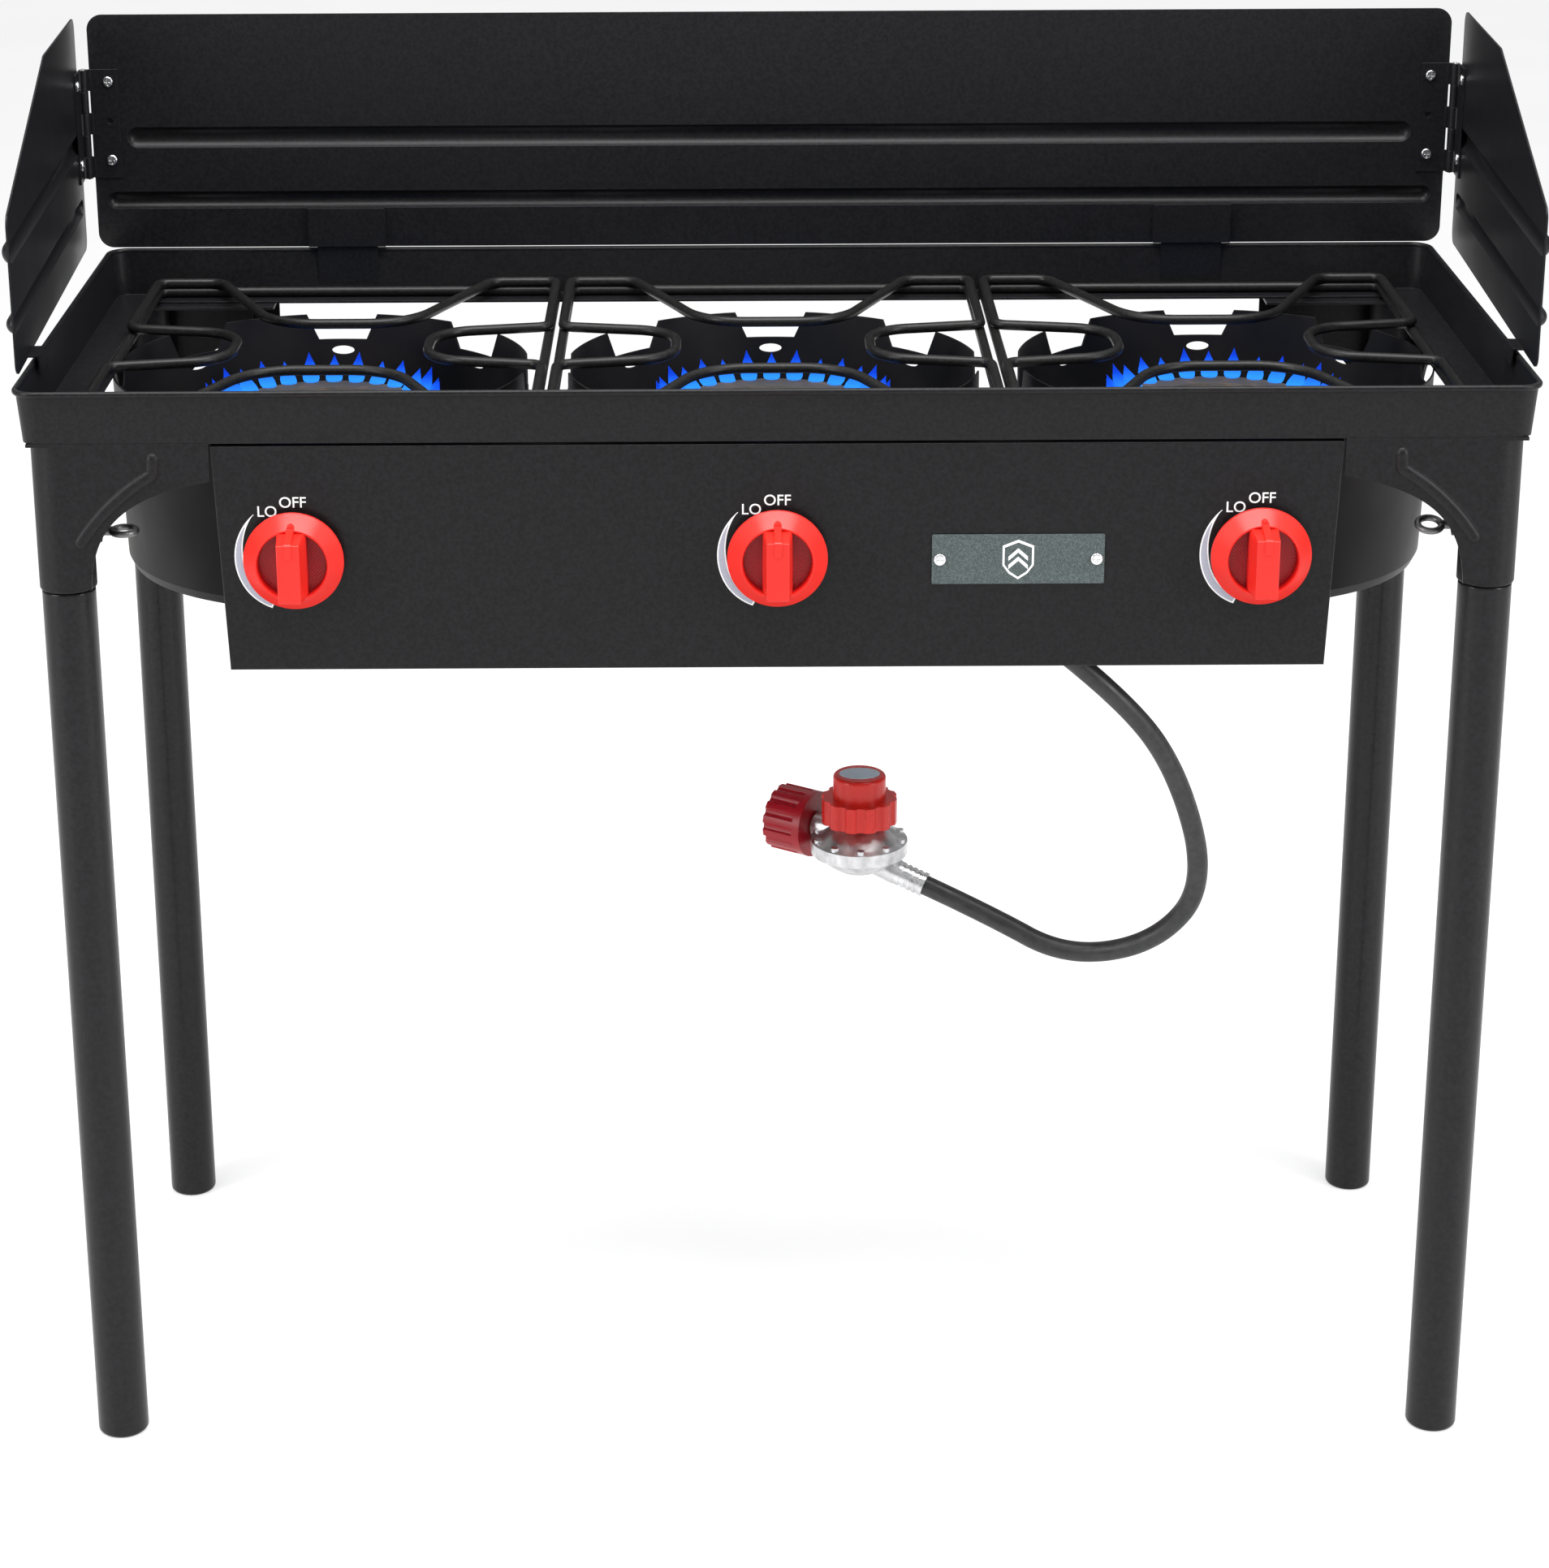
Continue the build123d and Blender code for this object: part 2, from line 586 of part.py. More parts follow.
def burner_base(x):
    """Cast ring with an open gas channel, three pillars and a mixer tube that points at the valve."""
    wall = 4.0
    ring_face = Circle(BURNER_OUTER) - Circle(BURNER_INNER)
    ring = Pos(0, 0, BURNER_FLOOR) * extrude(ring_face, BURNER_DECK - BURNER_FLOOR)
    channel = extrude(Circle(BURNER_OUTER - wall) - Circle(BURNER_INNER + wall), BURNER_DECK - BURNER_FLOOR)
    mixer = cylinder_between((0, MIXER_MOUTH_Y, VALVE_Z), (0, -BURNER_INNER - wall, VALVE_Z), MIXER_RADIUS)
    mouth_end = (0, MIXER_MOUTH_Y + 6.0, VALVE_Z)
    mouth = cylinder_between((0, MIXER_MOUTH_Y, VALVE_Z), mouth_end, MIXER_RADIUS + 4.0)
    base = ring + mixer + mouth
    base = base - Pos(0, 0, BURNER_FLOOR + wall) * channel
    bore_end = -BURNER_OUTER + wall + 1.0
    bore_start = (0, MIXER_MOUTH_Y - 1, VALVE_Z)
    base -= cylinder_between(bore_start, (0, bore_end, VALVE_Z), MIXER_RADIUS - MIXER_WALL)
    for foot in pillar_feet():
        pillar_low = CUP_BOTTOM + CUP_SHEET
        base += cylinder_between((*foot, pillar_low), (*foot, BURNER_FLOOR + wall), PILLAR_RADIUS)
        base -= cylinder_between((*foot, CUP_BOTTOM), (*foot, CUP_BOTTOM + CUP_SHEET + 10.0), BOLT_SHANK)
    return Pos(x, 0, 0) * base


CAP_HEIGHT = 16.0


def burner_cap(x):
    """Ring cap with a ridged crown and a row of flame ports on each shoulder."""
    low = BURNER_DECK
    high = low + CAP_HEIGHT
    middle = (BURNER_OUTER + BURNER_INNER) / 2
    section = Polyline(
        (BURNER_INNER, low),
        (BURNER_OUTER, low),
        (BURNER_OUTER, low + 5.0),
        (middle + 9.0, high),
        (middle - 9.0, high),
        (BURNER_INNER, low + 5.0),
        close=True,
    )
    cavity = Polyline(
        (BURNER_INNER + 5.0, low),
        (BURNER_OUTER - 5.0, low),
        (BURNER_OUTER - 5.0, low + 3.0),
        (middle + 7.0, high - 4.0),
        (middle - 7.0, high - 4.0),
        (BURNER_INNER + 5.0, low + 3.0),
        close=True,
    )
    cap = revolve(Plane.XZ * (make_face(section) - make_face(cavity)), axis=Axis.Z)
    port = cylinder_between((0, -middle - 4.0, low + 2.0), (0, -BURNER_OUTER - 4.0, high + 2.0), 1.7)
    inner_port = cylinder_between((0, -middle + 4.0, low + 2.0), (0, -BURNER_INNER + 6.0, high + 4.0), 1.5)
    for turn in range(PORT_COUNT):
        cap -= Rot(0, 0, turn * 360.0 / PORT_COUNT) * port
    for turn in range(PORT_COUNT // 2):
        cap -= Rot(0, 0, turn * 720.0 / PORT_COUNT) * inner_port
    return Pos(x, 0, 0) * cap


SHUTTER_RADIUS = 18.0
SHUTTER_SHEET = 1.2
SHUTTER_GAP = 0.5
NOZZLE_TIP_RADIUS = 3.6


def air_shutter(x):
    """Turning disc with four openings at the mixer mouth, on the nozzle, with a finger tab."""
    rear = MIXER_MOUTH_Y - SHUTTER_GAP
    front = rear - SHUTTER_SHEET
    disc = tube_between((0, front, 0), (0, rear, 0), SHUTTER_RADIUS, NOZZLE_TIP_RADIUS + 0.1)
    for turn in range(4):
        angle = radians(45.0 + 90.0 * turn)
        centre = (10.5 * cos(angle), 10.5 * sin(angle))
        disc -= cylinder_between((centre[0], front - 1, centre[1]), (centre[0], rear + 1, centre[1]), 4.2)
    disc += block((-4.0, 4.0), (front - 5.0, rear), (SHUTTER_RADIUS - 1.5, SHUTTER_RADIUS - 0.3))
    return Pos(x, 0, VALVE_Z) * disc


# ---------------------------------------------------------------- gas train
STEM_RADIUS = 4.0
VALVE_FRONT = PANEL_FACE_Y + PANEL_SHEET + 0.4
VALVE_REAR = -162.0
VALVE_RADIUS = 11.0
COLLAR_BORE = 7.5
COLLAR_FRONT = VALVE_FRONT + 3.0
BORE_END = -170.0


def valve_body(x):
    """Brass valve: a barrel with a bored front for the stem, a spigot to the manifold and a nozzle seat."""
    barrel = cylinder_between((0, VALVE_FRONT, 0), (0, VALVE_REAR, 0), VALVE_RADIUS)
    pipe_top = MANIFOLD_Z + MANIFOLD_RADIUS - VALVE_Z
    spigot = cylinder_between((0, MANIFOLD_Y, 0), (0, MANIFOLD_Y, pipe_top), 7.0)
    seat = hex_bar((0, VALVE_REAR - 1.0, 0), (0, VALVE_REAR + 3.0, 0), 15.0)
    body = barrel + spigot + seat
    body -= cylinder_between((0, VALVE_FRONT - 1, 0), (0, BORE_END, 0), STEM_RADIUS + 0.05)
    body -= cylinder_between((0, COLLAR_FRONT, 0), (0, COLLAR_FRONT + 8.5, 0), COLLAR_BORE)
    body -= cylinder_between((0, VALVE_REAR - 3.0, 0), (0, VALVE_REAR + 4.0, 0), 3.0)
    return Pos(x, 0, VALVE_Z) * body


def gas_nozzle(x):
    """Orifice fitting between valve and mixer tube."""
    nozzle = hex_bar((0, VALVE_REAR + 3.0, 0), (0, VALVE_REAR + 9.0, 0), 11.0)
    nozzle += cylinder_between((0, VALVE_REAR + 8.0, 0), (0, MIXER_MOUTH_Y + 3.0, 0), NOZZLE_TIP_RADIUS)
    nozzle += cylinder_between((0, VALVE_REAR - 3.0, 0), (0, VALVE_REAR + 4.0, 0), 3.0)
    nozzle -= cylinder_between((0, VALVE_REAR - 4.0, 0), (0, MIXER_MOUTH_Y, 0), 1.6)
    nozzle -= cylinder_between((0, MIXER_MOUTH_Y - 1.0, 0), (0, MIXER_MOUTH_Y + 5.0, 0), 0.6)
    return Pos(x, 0, VALVE_Z) * nozzle


def push_collar(x):
    """Thrust ring on the stem. It moves in with the knob and doesn't turn."""
    front = COLLAR_FRONT + 0.3
    ring = tube_between((0, front, 0), (0, front + 2.4, 0), COLLAR_BORE - 0.06, STEM_RADIUS + 0.06)
    return Pos(x, 0, VALVE_Z) * ring


KNOB_BACK_Y = PANEL_FACE_Y - 4.6
KNOB_RIM_Y = KNOB_BACK_Y - 3.0
KNOB_FACE_Y = KNOB_BACK_Y - 13.0
KNOB_GRIP_Y = KNOB_BACK_Y - 32.0
KNOB_FACE_RADIUS = 23.5
KNOB_WELL_RADIUS = 22.0
KNOB_WELL_DEPTH = 6.5
KNOB_BACK_RECESS = 3.5
GRIP_LENGTH = 44.0
GRIP_WIDTH = 20.0
GRIP_DRAFT = 6.0
RIB_WIDTH = 4.6
RIB_FOOT_Z = 10.5
RIB_BEND_Z = 20.3
RIB_HEAD_Z = 24.8


def valve_stem(x):
    """Stem from inside the valve to inside the knob."""
    stem = cylinder_between((0, KNOB_FACE_Y + 2.0, 0), (0, BORE_END - PUSH_TRAVEL - 1.5, 0), STEM_RADIUS)
    stem -= block((1.9, STEM_RADIUS + 1), (KNOB_FACE_Y, KNOB_BACK_Y + 3.0), (-STEM_RADIUS, STEM_RADIUS))
    return Pos(x, 0, VALVE_Z) * stem


def pointer_rib():
    """Raised rib that runs up the grip's face, over its upper end and down to a round head on the skirt."""
    face = KNOB_GRIP_Y - 1.0
    skirt_face = KNOB_FACE_Y - 1.2
    side = Polyline(
        (face, RIB_FOOT_Z),
        (face, RIB_BEND_Z - 0.8),
        (face + 0.8, RIB_BEND_Z),
        (skirt_face, RIB_HEAD_Z),
        (KNOB_FACE_Y + 3.0, RIB_HEAD_Z),
        (KNOB_FACE_Y + 3.0, RIB_FOOT_Z),
        close=True,
    )
    rib = extrude(Plane.YZ * make_face(side), amount=RIB_WIDTH / 2, both=True)
    rib += cylinder_between((0, skirt_face, RIB_HEAD_Z), (0, KNOB_FACE_Y + 4.0, RIB_HEAD_Z), RIB_WIDTH / 2)
    return rib


def control_knob(x):
    """Moulded knob: conical skirt, deep well, and a tapered bar grip with a raised pointer rib."""
    well_floor = KNOB_FACE_Y + KNOB_WELL_DEPTH
    outline = Polyline(
        (0, KNOB_BACK_Y),
        (KNOB_RADIUS - 1.0, KNOB_BACK_Y),
        (KNOB_RADIUS, KNOB_BACK_Y - 1.0),
        (KNOB_RADIUS, KNOB_RIM_Y),
        (KNOB_FACE_RADIUS, KNOB_FACE_Y),
        (KNOB_WELL_RADIUS + 0.6, KNOB_FACE_Y),
        (KNOB_WELL_RADIUS, KNOB_FACE_Y + 0.6),
        (KNOB_WELL_RADIUS - 0.5, well_floor),
        (0, well_floor),
        close=True,
    )
    skirt = revolve(Plane.XY * make_face(outline), axis=Axis.Y)
    grip_plane = Plane(origin=(0, well_floor + 1.0, 0), x_dir=(1, 0, 0), z_dir=(0, -1, 0))
    grip_foot = grip_plane * RectangleRounded(GRIP_WIDTH, GRIP_LENGTH, 2.6)
    grip = extrude(grip_foot, amount=well_floor + 1.0 - KNOB_GRIP_Y, taper=GRIP_DRAFT)
    grip = fillet(grip.faces().sort_by(Axis.Y)[0].edges(), 1.0)
    knob = skirt + grip + pointer_rib()
    recess_end = (0, KNOB_BACK_Y - KNOB_BACK_RECESS, 0)
    hollow = tube_between((0, KNOB_BACK_Y + 1, 0), recess_end, KNOB_WELL_RADIUS, 8.0)
    knob -= hollow
    bore = cylinder_between((0, KNOB_BACK_Y + 1, 0), (0, KNOB_FACE_Y + 2.0, 0), STEM_RADIUS)
    bore -= block((1.9, STEM_RADIUS + 1), (KNOB_FACE_Y, KNOB_BACK_Y + 3.0), (-STEM_RADIUS, STEM_RADIUS))
    knob -= bore
    return Pos(x, 0, VALVE_Z) * knob


MANIFOLD_END = BURNER_PITCH + 26.0
PLUG_LENGTH = 7.0


def gas_manifold():
    """Steel pipe with a tapped hole at each valve and one for the inlet fitting."""
    pipe = tube_between(
        (-MANIFOLD_END, MANIFOLD_Y, MANIFOLD_Z),
        (MANIFOLD_END, MANIFOLD_Y, MANIFOLD_Z),
        MANIFOLD_RADIUS,
        MANIFOLD_RADIUS - 2.2,
    )
    for x in BURNER_XS:
        pipe -= cylinder_between(
            (x, MANIFOLD_Y, MANIFOLD_Z), (x, MANIFOLD_Y, MANIFOLD_Z + MANIFOLD_RADIUS + 2), 7.0
        )
    start = Vector(*inlet_point(INLET_LENGTH))
    pipe -= cylinder_between((start.X, start.Y, start.Z), inlet_point(FERRULE_LENGTH), 5.0)
    return pipe


def manifold_plugs():
    plugs = []
    for side in (-1, 1):
        plug = cylinder_between(
            (side * (MANIFOLD_END - 6.0), MANIFOLD_Y, MANIFOLD_Z),
            (side * MANIFOLD_END, MANIFOLD_Y, MANIFOLD_Z),
            MANIFOLD_RADIUS - 2.2,
        )
        plug += hex_bar(
            (side * MANIFOLD_END, MANIFOLD_Y, MANIFOLD_Z),
            (side * (MANIFOLD_END + PLUG_LENGTH), MANIFOLD_Y, MANIFOLD_Z),
            17.0,
        )
        plugs.append(plug)
    return group(plugs)


# ---------------------------------------------------------------- hose and regulator
FERRULE_LENGTH = 22.0
FERRULE_RADIUS = 8.6
INLET_LENGTH = 50.0
INLET_HEX = 5.0


def along_hose(end, distance):
    """A point on the straight line beyond one end of the hose: 0 is the manifold's end, -1 the other."""
    tip = Vector(*HOSE_ROUTE[end])
    neighbour = Vector(*HOSE_ROUTE[1 if end == 0 else -2])
    out = (tip - neighbour).normalized()
    point = tip + out * distance
    return (point.X, point.Y, point.Z)


def inlet_point(distance):
    return along_hose(0, distance)


def outlet_point(distance):
    return along_hose(-1, distance)


def hose_radii():
    """One bend radius for each inner corner: 0.45 of the shorter run over the tangent of half the turn."""
    radii = []
    for before, here, after in zip(HOSE_ROUTE, HOSE_ROUTE[1:], HOSE_ROUTE[2:]):
        arriving = Vector(*here) - Vector(*before)
        leaving = Vector(*after) - Vector(*here)
        half_turn = radians(arriving.get_angle(leaving)) / 2
        radii.append(0.45 * min(arriving.length, leaving.length) / tan(half_turn))
    return radii


def gas_hose():
    radii = hose_radii()
    path = FilletPolyline(*HOSE_ROUTE, radius=radii)
    hose = rod(path, HOSE_RADIUS)
    print("hose radii", [round(value, 1) for value in radii], "length", round(path.length, 1))
    section = pi * HOSE_RADIUS**2
    print("hose volume over section", round(hose.volume / section, 1))
    return hose


def hose_ferrules():
    """Crimped sleeves at both ends of the hose."""
    ferrules = []
    for point in (inlet_point, outlet_point):
        sleeve = cylinder_between(point(0), point(FERRULE_LENGTH), FERRULE_RADIUS)
        for step in range(4):
            start = point(3.0 + 4.2 * step)
            end = point(5.2 + 4.2 * step)
            sleeve -= tube_between(start, end, FERRULE_RADIUS + 1, FERRULE_RADIUS - 0.7)
        ferrules.append(sleeve)
    return group(ferrules)


def inlet_fitting():
    """Flare fitting between the ferrule and the manifold."""
    fitting = hex_bar(inlet_point(FERRULE_LENGTH), inlet_point(FERRULE_LENGTH + INLET_HEX), 15.0)
    fitting += cylinder_between(inlet_point(FERRULE_LENGTH + 1.0), inlet_point(INLET_LENGTH), 5.0)
    fitting -= cylinder_between(
        (0, MANIFOLD_Y, MANIFOLD_Z), (MANIFOLD_END, MANIFOLD_Y, MANIFOLD_Z), MANIFOLD_RADIUS - 2.2
    )
    return fitting


DISC_RADIUS = 34.0
NUT_RADIUS = 23.5
NUT_FLUTES = 14
NUT_X = (-6.0, 24.0)
NUT_Z = 382.0
COUPLING_TURN = -34.0


def turned_back(shape):
    """Swings a piece of the coupling about the regulator's upright axis, to point back to the left."""
    cx, cy, _ = REGULATOR_CENTRE
    return Pos(cx, cy, 0) * Rot(0, 0, COUPLING_TURN) * Pos(-cx, -cy, 0) * shape


def regulator_body():
    """Die-cast housing: bowl, clamped rim, bonnet, side inlet and hose outlet."""
    cx, cy, cz = REGULATOR_CENTRE
    outline = Polyline(
        (0, cz - 16.0),
        (17.0, cz - 16.0),
        (24.0, cz - 11.0),
        (31.0, cz - 5.0),
        (DISC_RADIUS, cz - 4.0),
        (DISC_RADIUS, cz + 5.0),
        (30.0, cz + 7.0),
        (22.0, cz + 12.0),
        (16.5, cz + 16.0),
        (14.5, cz + 26.0),
        (0, cz + 26.0),
        close=True,
    )
    body = Pos(cx, cy, 0) * revolve(Plane.XZ * make_face(outline), axis=Axis.Z)
    body -= Pos(cx, cy, cz + 10.0) * extrude(Circle(6.0), 20.0)
    body += turned_back(cylinder_between((NUT_X[1] + 1.0, cy, NUT_Z), (cx - 14.0, cy, NUT_Z), 9.5))
    body += cylinder_between(outlet_point(FERRULE_LENGTH), (cx, cy, cz - 6.0), 9.0)
    for step in range(10):
        angle = radians(18.0 + 36.0 * step)
        centre = (cx + 30.5 * cos(angle), cy + 30.5 * sin(angle))
        body += cylinder_between((*centre, cz + 3.0), (*centre, cz + 8.2), 2.6)
    return body - cylinder_between(outlet_point(0), outlet_point(FERRULE_LENGTH), FERRULE_RADIUS + 0.1)


def regulator_knob():
    """Fluted pressure knob with a smooth cap, and the adjusting screw that it turns."""
    cx, cy, cz = REGULATOR_CENTRE
    skirt_low = cz + 19.0
    skirt_high = cz + 37.0
    skirt = Pos(cx, cy, skirt_low) * extrude(Circle(26.5), skirt_high - skirt_low)
    for step in range(12):
        angle = radians(30.0 * step)
        centre = Pos(cx + 29.5 * cos(angle), cy + 29.5 * sin(angle), skirt_low - 1)
        skirt -= centre * extrude(Circle(5.0), 30.0)
    cap = Pos(cx, cy, skirt_high) * extrude(Circle(18.5), 17.0)
    cap = fillet(cap.edges().group_by(Axis.Z)[-1], 2.5)
    knob = skirt + cap
    knob -= Pos(cx, cy, skirt_low - 1) * extrude(Circle(17.5), 9.0)
    knob += Pos(cx, cy, cz + 13.0) * extrude(Circle(5.94), 16.0)
    return knob


def coupling_nut():
    """Fluted hand nut that joins the regulator to a gas cylinder's valve."""
    cy = REGULATOR_CENTRE[1]
    nut = cylinder_between((NUT_X[0], cy, NUT_Z), (NUT_X[1], cy, NUT_Z), NUT_RADIUS)
    for step in range(NUT_FLUTES):
        angle = radians(360.0 * step / NUT_FLUTES)
        y = cy + (NUT_RADIUS + 1.4) * cos(angle)
        z = NUT_Z + (NUT_RADIUS + 1.4) * sin(angle)
        nut -= cylinder_between((NUT_X[0] - 1, y, z), (NUT_X[1] - 6.0, y, z), 3.2)
    nut -= cylinder_between((NUT_X[0] - 1, cy, NUT_Z), (NUT_X[1] - 5.0, cy, NUT_Z), 16.7)
    nut -= cylinder_between((NUT_X[0] - 1, cy, NUT_Z), (NUT_X[1] + 1.0, cy, NUT_Z), 8.06)
    return turned_back(nut)


def coupling_nipple():
    """Brass nipple that runs through the hand nut, with a rubber-nosed tip."""
    cy = REGULATOR_CENTRE[1]
    nipple = cylinder_between((NUT_X[0] + 3.0, cy, NUT_Z), (NUT_X[1] + 1.0, cy, NUT_Z), 8.0)
    nipple += cylinder_between((NUT_X[0] + 17.0, cy, NUT_Z), (NUT_X[1] - 5.4, cy, NUT_Z), 11.0)
    nipple -= cylinder_between((NUT_X[0] + 2.0, cy, NUT_Z), (NUT_X[1] - 2.0, cy, NUT_Z), 2.5)
    tip = nipple.edges().filter_by(GeomType.CIRCLE).sort_by(Axis.X)[0:2].sort_by(SortBy.LENGTH)[-1]
    return turned_back(fillet(tip, 1.5))


# ---------------------------------------------------------------- grates
def grate(x):
    """Pot grate of bent rod: a rectangular base loop and, welded on it, a loop with four inward fingers."""
    wire = GRATE_WIRE / 2
    base_z = LEDGE_TOP + 0.3 + wire
    upper_z = base_z + GRATE_WIRE - 0.4
    hx = GRATE_HALF_X
    hy = GRATE_HALF_Y
    base = FilletPolyline(
        (-hx, -hy, base_z), (hx, -hy, base_z), (hx, hy, base_z), (-hx, hy, base_z), radius=8.0, close=True
    )
    half_loop = (
        (-hx, -hy, 8.0),
        (-98.0, -hy, 14.0),
        (-47.0, -62.0, 46.0),
        (47.0, -62.0, 46.0),
        (98.0, -hy, 14.0),
        (hx, -hy, 8.0),
        (hx, -51.0, 9.0),
        (66.0, -36.0, 33.0),
        (66.0, 36.0, 33.0),
        (hx, 51.0, 9.0),
    )
    corners = half_loop + tuple((-px, -py, radius) for px, py, radius in half_loop)
    upper = FilletPolyline(
        *[(px, py, upper_z) for px, py, _ in corners], radius=[radius for _, _, radius in corners], close=True
    )
    loops = rod(base, wire) + rod(upper, wire)
    return Pos(x, 0, 0) * loops


# ---------------------------------------------------------------- windscreen
BEADS = ((790.0, 6.5), (836.0, 8.5))
BEAD_DEPTH = 4.5
HINGE_LOW = SCREEN_BOTTOM + 52.0
HINGE_HIGH = SCREEN_BOTTOM + 131.0
LEAF_WIDTH = 21.0
LEAF_SHEET = 1.2
KNUCKLE_RADIUS = 3.2
HINGE_SCREW_ZS = (HINGE_LOW + 13.0, HINGE_HIGH - 9.0)
HINGE_SCREW_X = PIN_X - LEAF_WIDTH - KNUCKLE_RADIUS + 7.0
WING_SCREW_Y = PIN_Y - LEAF_WIDTH - KNUCKLE_RADIUS + 7.0
LEAF_EDGE_GAP = 0.8
LEAF_STEP = 0.2
SCREW_SHANK = 2.0
SCREW_HOLE = 2.05


def bead_bar(start, end, half_height):
    """Half-round bead between two points, laid on the far side of a sheet."""
    along = Vector(*end) - Vector(*start)
    plane = Plane(origin=start, z_dir=along)
    bar = extrude(plane * Circle(half_height), amount=along.length)
    return bar + Pos(*start) * Sphere(half_height) + Pos(*end) * Sphere(half_height)


def windscreen_back():
    """Tall rear sheet with two long beads pressed backwards and two lanced pockets."""
    front = SCREEN_FRONT_Y
    rear = front + SCREEN_SHEET
    plane = Plane(origin=(0, front, 0), x_dir=(1, 0, 0), z_dir=(0, -1, 0))
    outline = Pos(0, (SCREEN_BOTTOM + SCREEN_TOP) / 2) * RectangleRounded(
        2 * SCREEN_HALF_WIDTH, SCREEN_HEIGHT, 11.0
    )
    sheet = extrude(plane * outline, amount=-SCREEN_SHEET)
    reach = {790.0: SCREEN_HALF_WIDTH - 8.0, 836.0: SCREEN_HALF_WIDTH - 24.0}
    across = (-SCREEN_HALF_WIDTH, SCREEN_HALF_WIDTH)
    keep = block(across, (front, rear + BEAD_DEPTH), (SCREEN_BOTTOM, SCREEN_TOP))
    for z, half in BEADS:
        span = reach[z] - half
        centre_y = front + BEAD_DEPTH - half
        outer = bead_bar((-span, centre_y + SCREEN_SHEET, z), (span, centre_y + SCREEN_SHEET, z), half)
        inner = bead_bar((-span, centre_y, z), (span, centre_y, z), half)
        sheet += outer & keep
        sheet -= inner
    for side in (-1, 1):
        sheet = add_pocket(sheet, side * BURNER_PITCH)
        holes = [(side * HINGE_SCREW_X, front, z) for z in HINGE_SCREW_ZS]
        sheet = leaf_holes(sheet, holes, (0, 1, 0))
    return sheet


POCKET_WIDTH = 56.0
POCKET_HEIGHT = 29.0


def add_pocket(sheet, x):
    """A strap pushed forwards from the sheet, open at the bottom and at one side, that takes a tongue."""
    half = POCKET_WIDTH / 2
    front = SCREEN_FRONT_Y
    gap = POCKET_DEPTH
    low = SCREEN_BOTTOM + 0.5
    high = SCREEN_BOTTOM + POCKET_HEIGHT
    across = (x - half + 2, x + half - 2)
    window = block(across, (front - 1, front + SCREEN_SHEET + 1), (SCREEN_BOTTOM - 1, high - 3))
    sheet -= window
    sheet += block((x - half, x + half), (front - gap - SCREEN_SHEET, front - gap), (low, high))
    sheet += block((x - half, x + half), (front - gap - SCREEN_SHEET, front + 0.2), (high - 1.2, high))
    for side in (-1, 1):
        edge = x + side * half
        sheet += block(
            (min(edge, edge - side * 1.2), max(edge, edge - side * 1.2)),
            (front - gap - SCREEN_SHEET, front + 0.2),
            (low, high),
        )
    return sheet


WING_FRONT_HEIGHT = 102.0
WING_SLOPE_START = 160.0
WING_GAP = 3.0
WING_INNER_X = -PIN_X - WING_OFFSET
HOOK_REACH = (292.0, 318.0)
HOOK_OFFSET = 7.5
HOOK_DROP = 11.0


def toed_in(shape, side):
    """Turns a left wing piece by the toe angle about its hinge pin, then mirrors it for the right side."""
    shape = Pos(-PIN_X, PIN_Y, 0) * Rot(0, 0, WING_TOE) * Pos(PIN_X, -PIN_Y, 0) * shape
    return shape if side < 0 else mirror(shape, about=Plane.YZ)


def wing(side):
    """Side sheet of the windscreen: two beads pressed outwards, a cranked hook over the tray's lip."""
    low = SCREEN_BOTTOM + 2.0
    inner_x = WING_INNER_X
    outer_x = inner_x - SCREEN_SHEET
    rear_y = PIN_Y - WING_GAP - KNUCKLE_RADIUS
    front_y = PIN_Y - WING_REACH
    outline = FilletPolyline(
        (rear_y, low),
        (rear_y, SCREEN_TOP),
        (PIN_Y - WING_SLOPE_START, SCREEN_TOP),
        (front_y, low + WING_FRONT_HEIGHT),
        (front_y, low),
        radius=9.0,
        close=True,
    )
    plane = Plane(origin=(outer_x, 0, 0), x_dir=(0, 1, 0), z_dir=(1, 0, 0))
    sheet = extrude(plane * make_face(outline), amount=SCREEN_SHEET)
    keep = block((outer_x - BEAD_DEPTH, inner_x), (front_y, rear_y), (low, SCREEN_TOP))
    for z, half in BEADS:
        bead_x = inner_x - BEAD_DEPTH + half
        start_y = rear_y - 8.0 - half
        end_y = front_y + half
        outer = bead_bar((bead_x - SCREEN_SHEET, start_y, z), (bead_x - SCREEN_SHEET, end_y, z), half)
        inner = bead_bar((bead_x, start_y, z), (bead_x, end_y + SCREEN_SHEET, z), half)
        sheet += outer & keep
        sheet -= inner
    hook_y = (PIN_Y - HOOK_REACH[1], PIN_Y - HOOK_REACH[0])
    drop_x = inner_x + HOOK_OFFSET
    sheet += block((outer_x, drop_x), hook_y, (low, low + SCREEN_SHEET))
    sheet += block((drop_x - SCREEN_SHEET, drop_x), hook_y, (low - HOOK_DROP, low + SCREEN_SHEET))
    holes = [(inner_x, WING_SCREW_Y, z) for z in HINGE_SCREW_ZS]
    return toed_in(leaf_holes(sheet, holes, (1, 0, 0)), side)


def knuckles(which):
    """Rolled hinge knuckles: three on the back leaf, two on the wing leaf, in turn along the pin."""
    count = 5
    pitch = (HINGE_HIGH - HINGE_LOW) / count
    rolls = []
    for step in range(which, count, 2):
        low = HINGE_LOW + step * pitch + 0.15
        high = HINGE_LOW + (step + 1) * pitch - 0.15
        rolls.append((low, high))
    return rolls


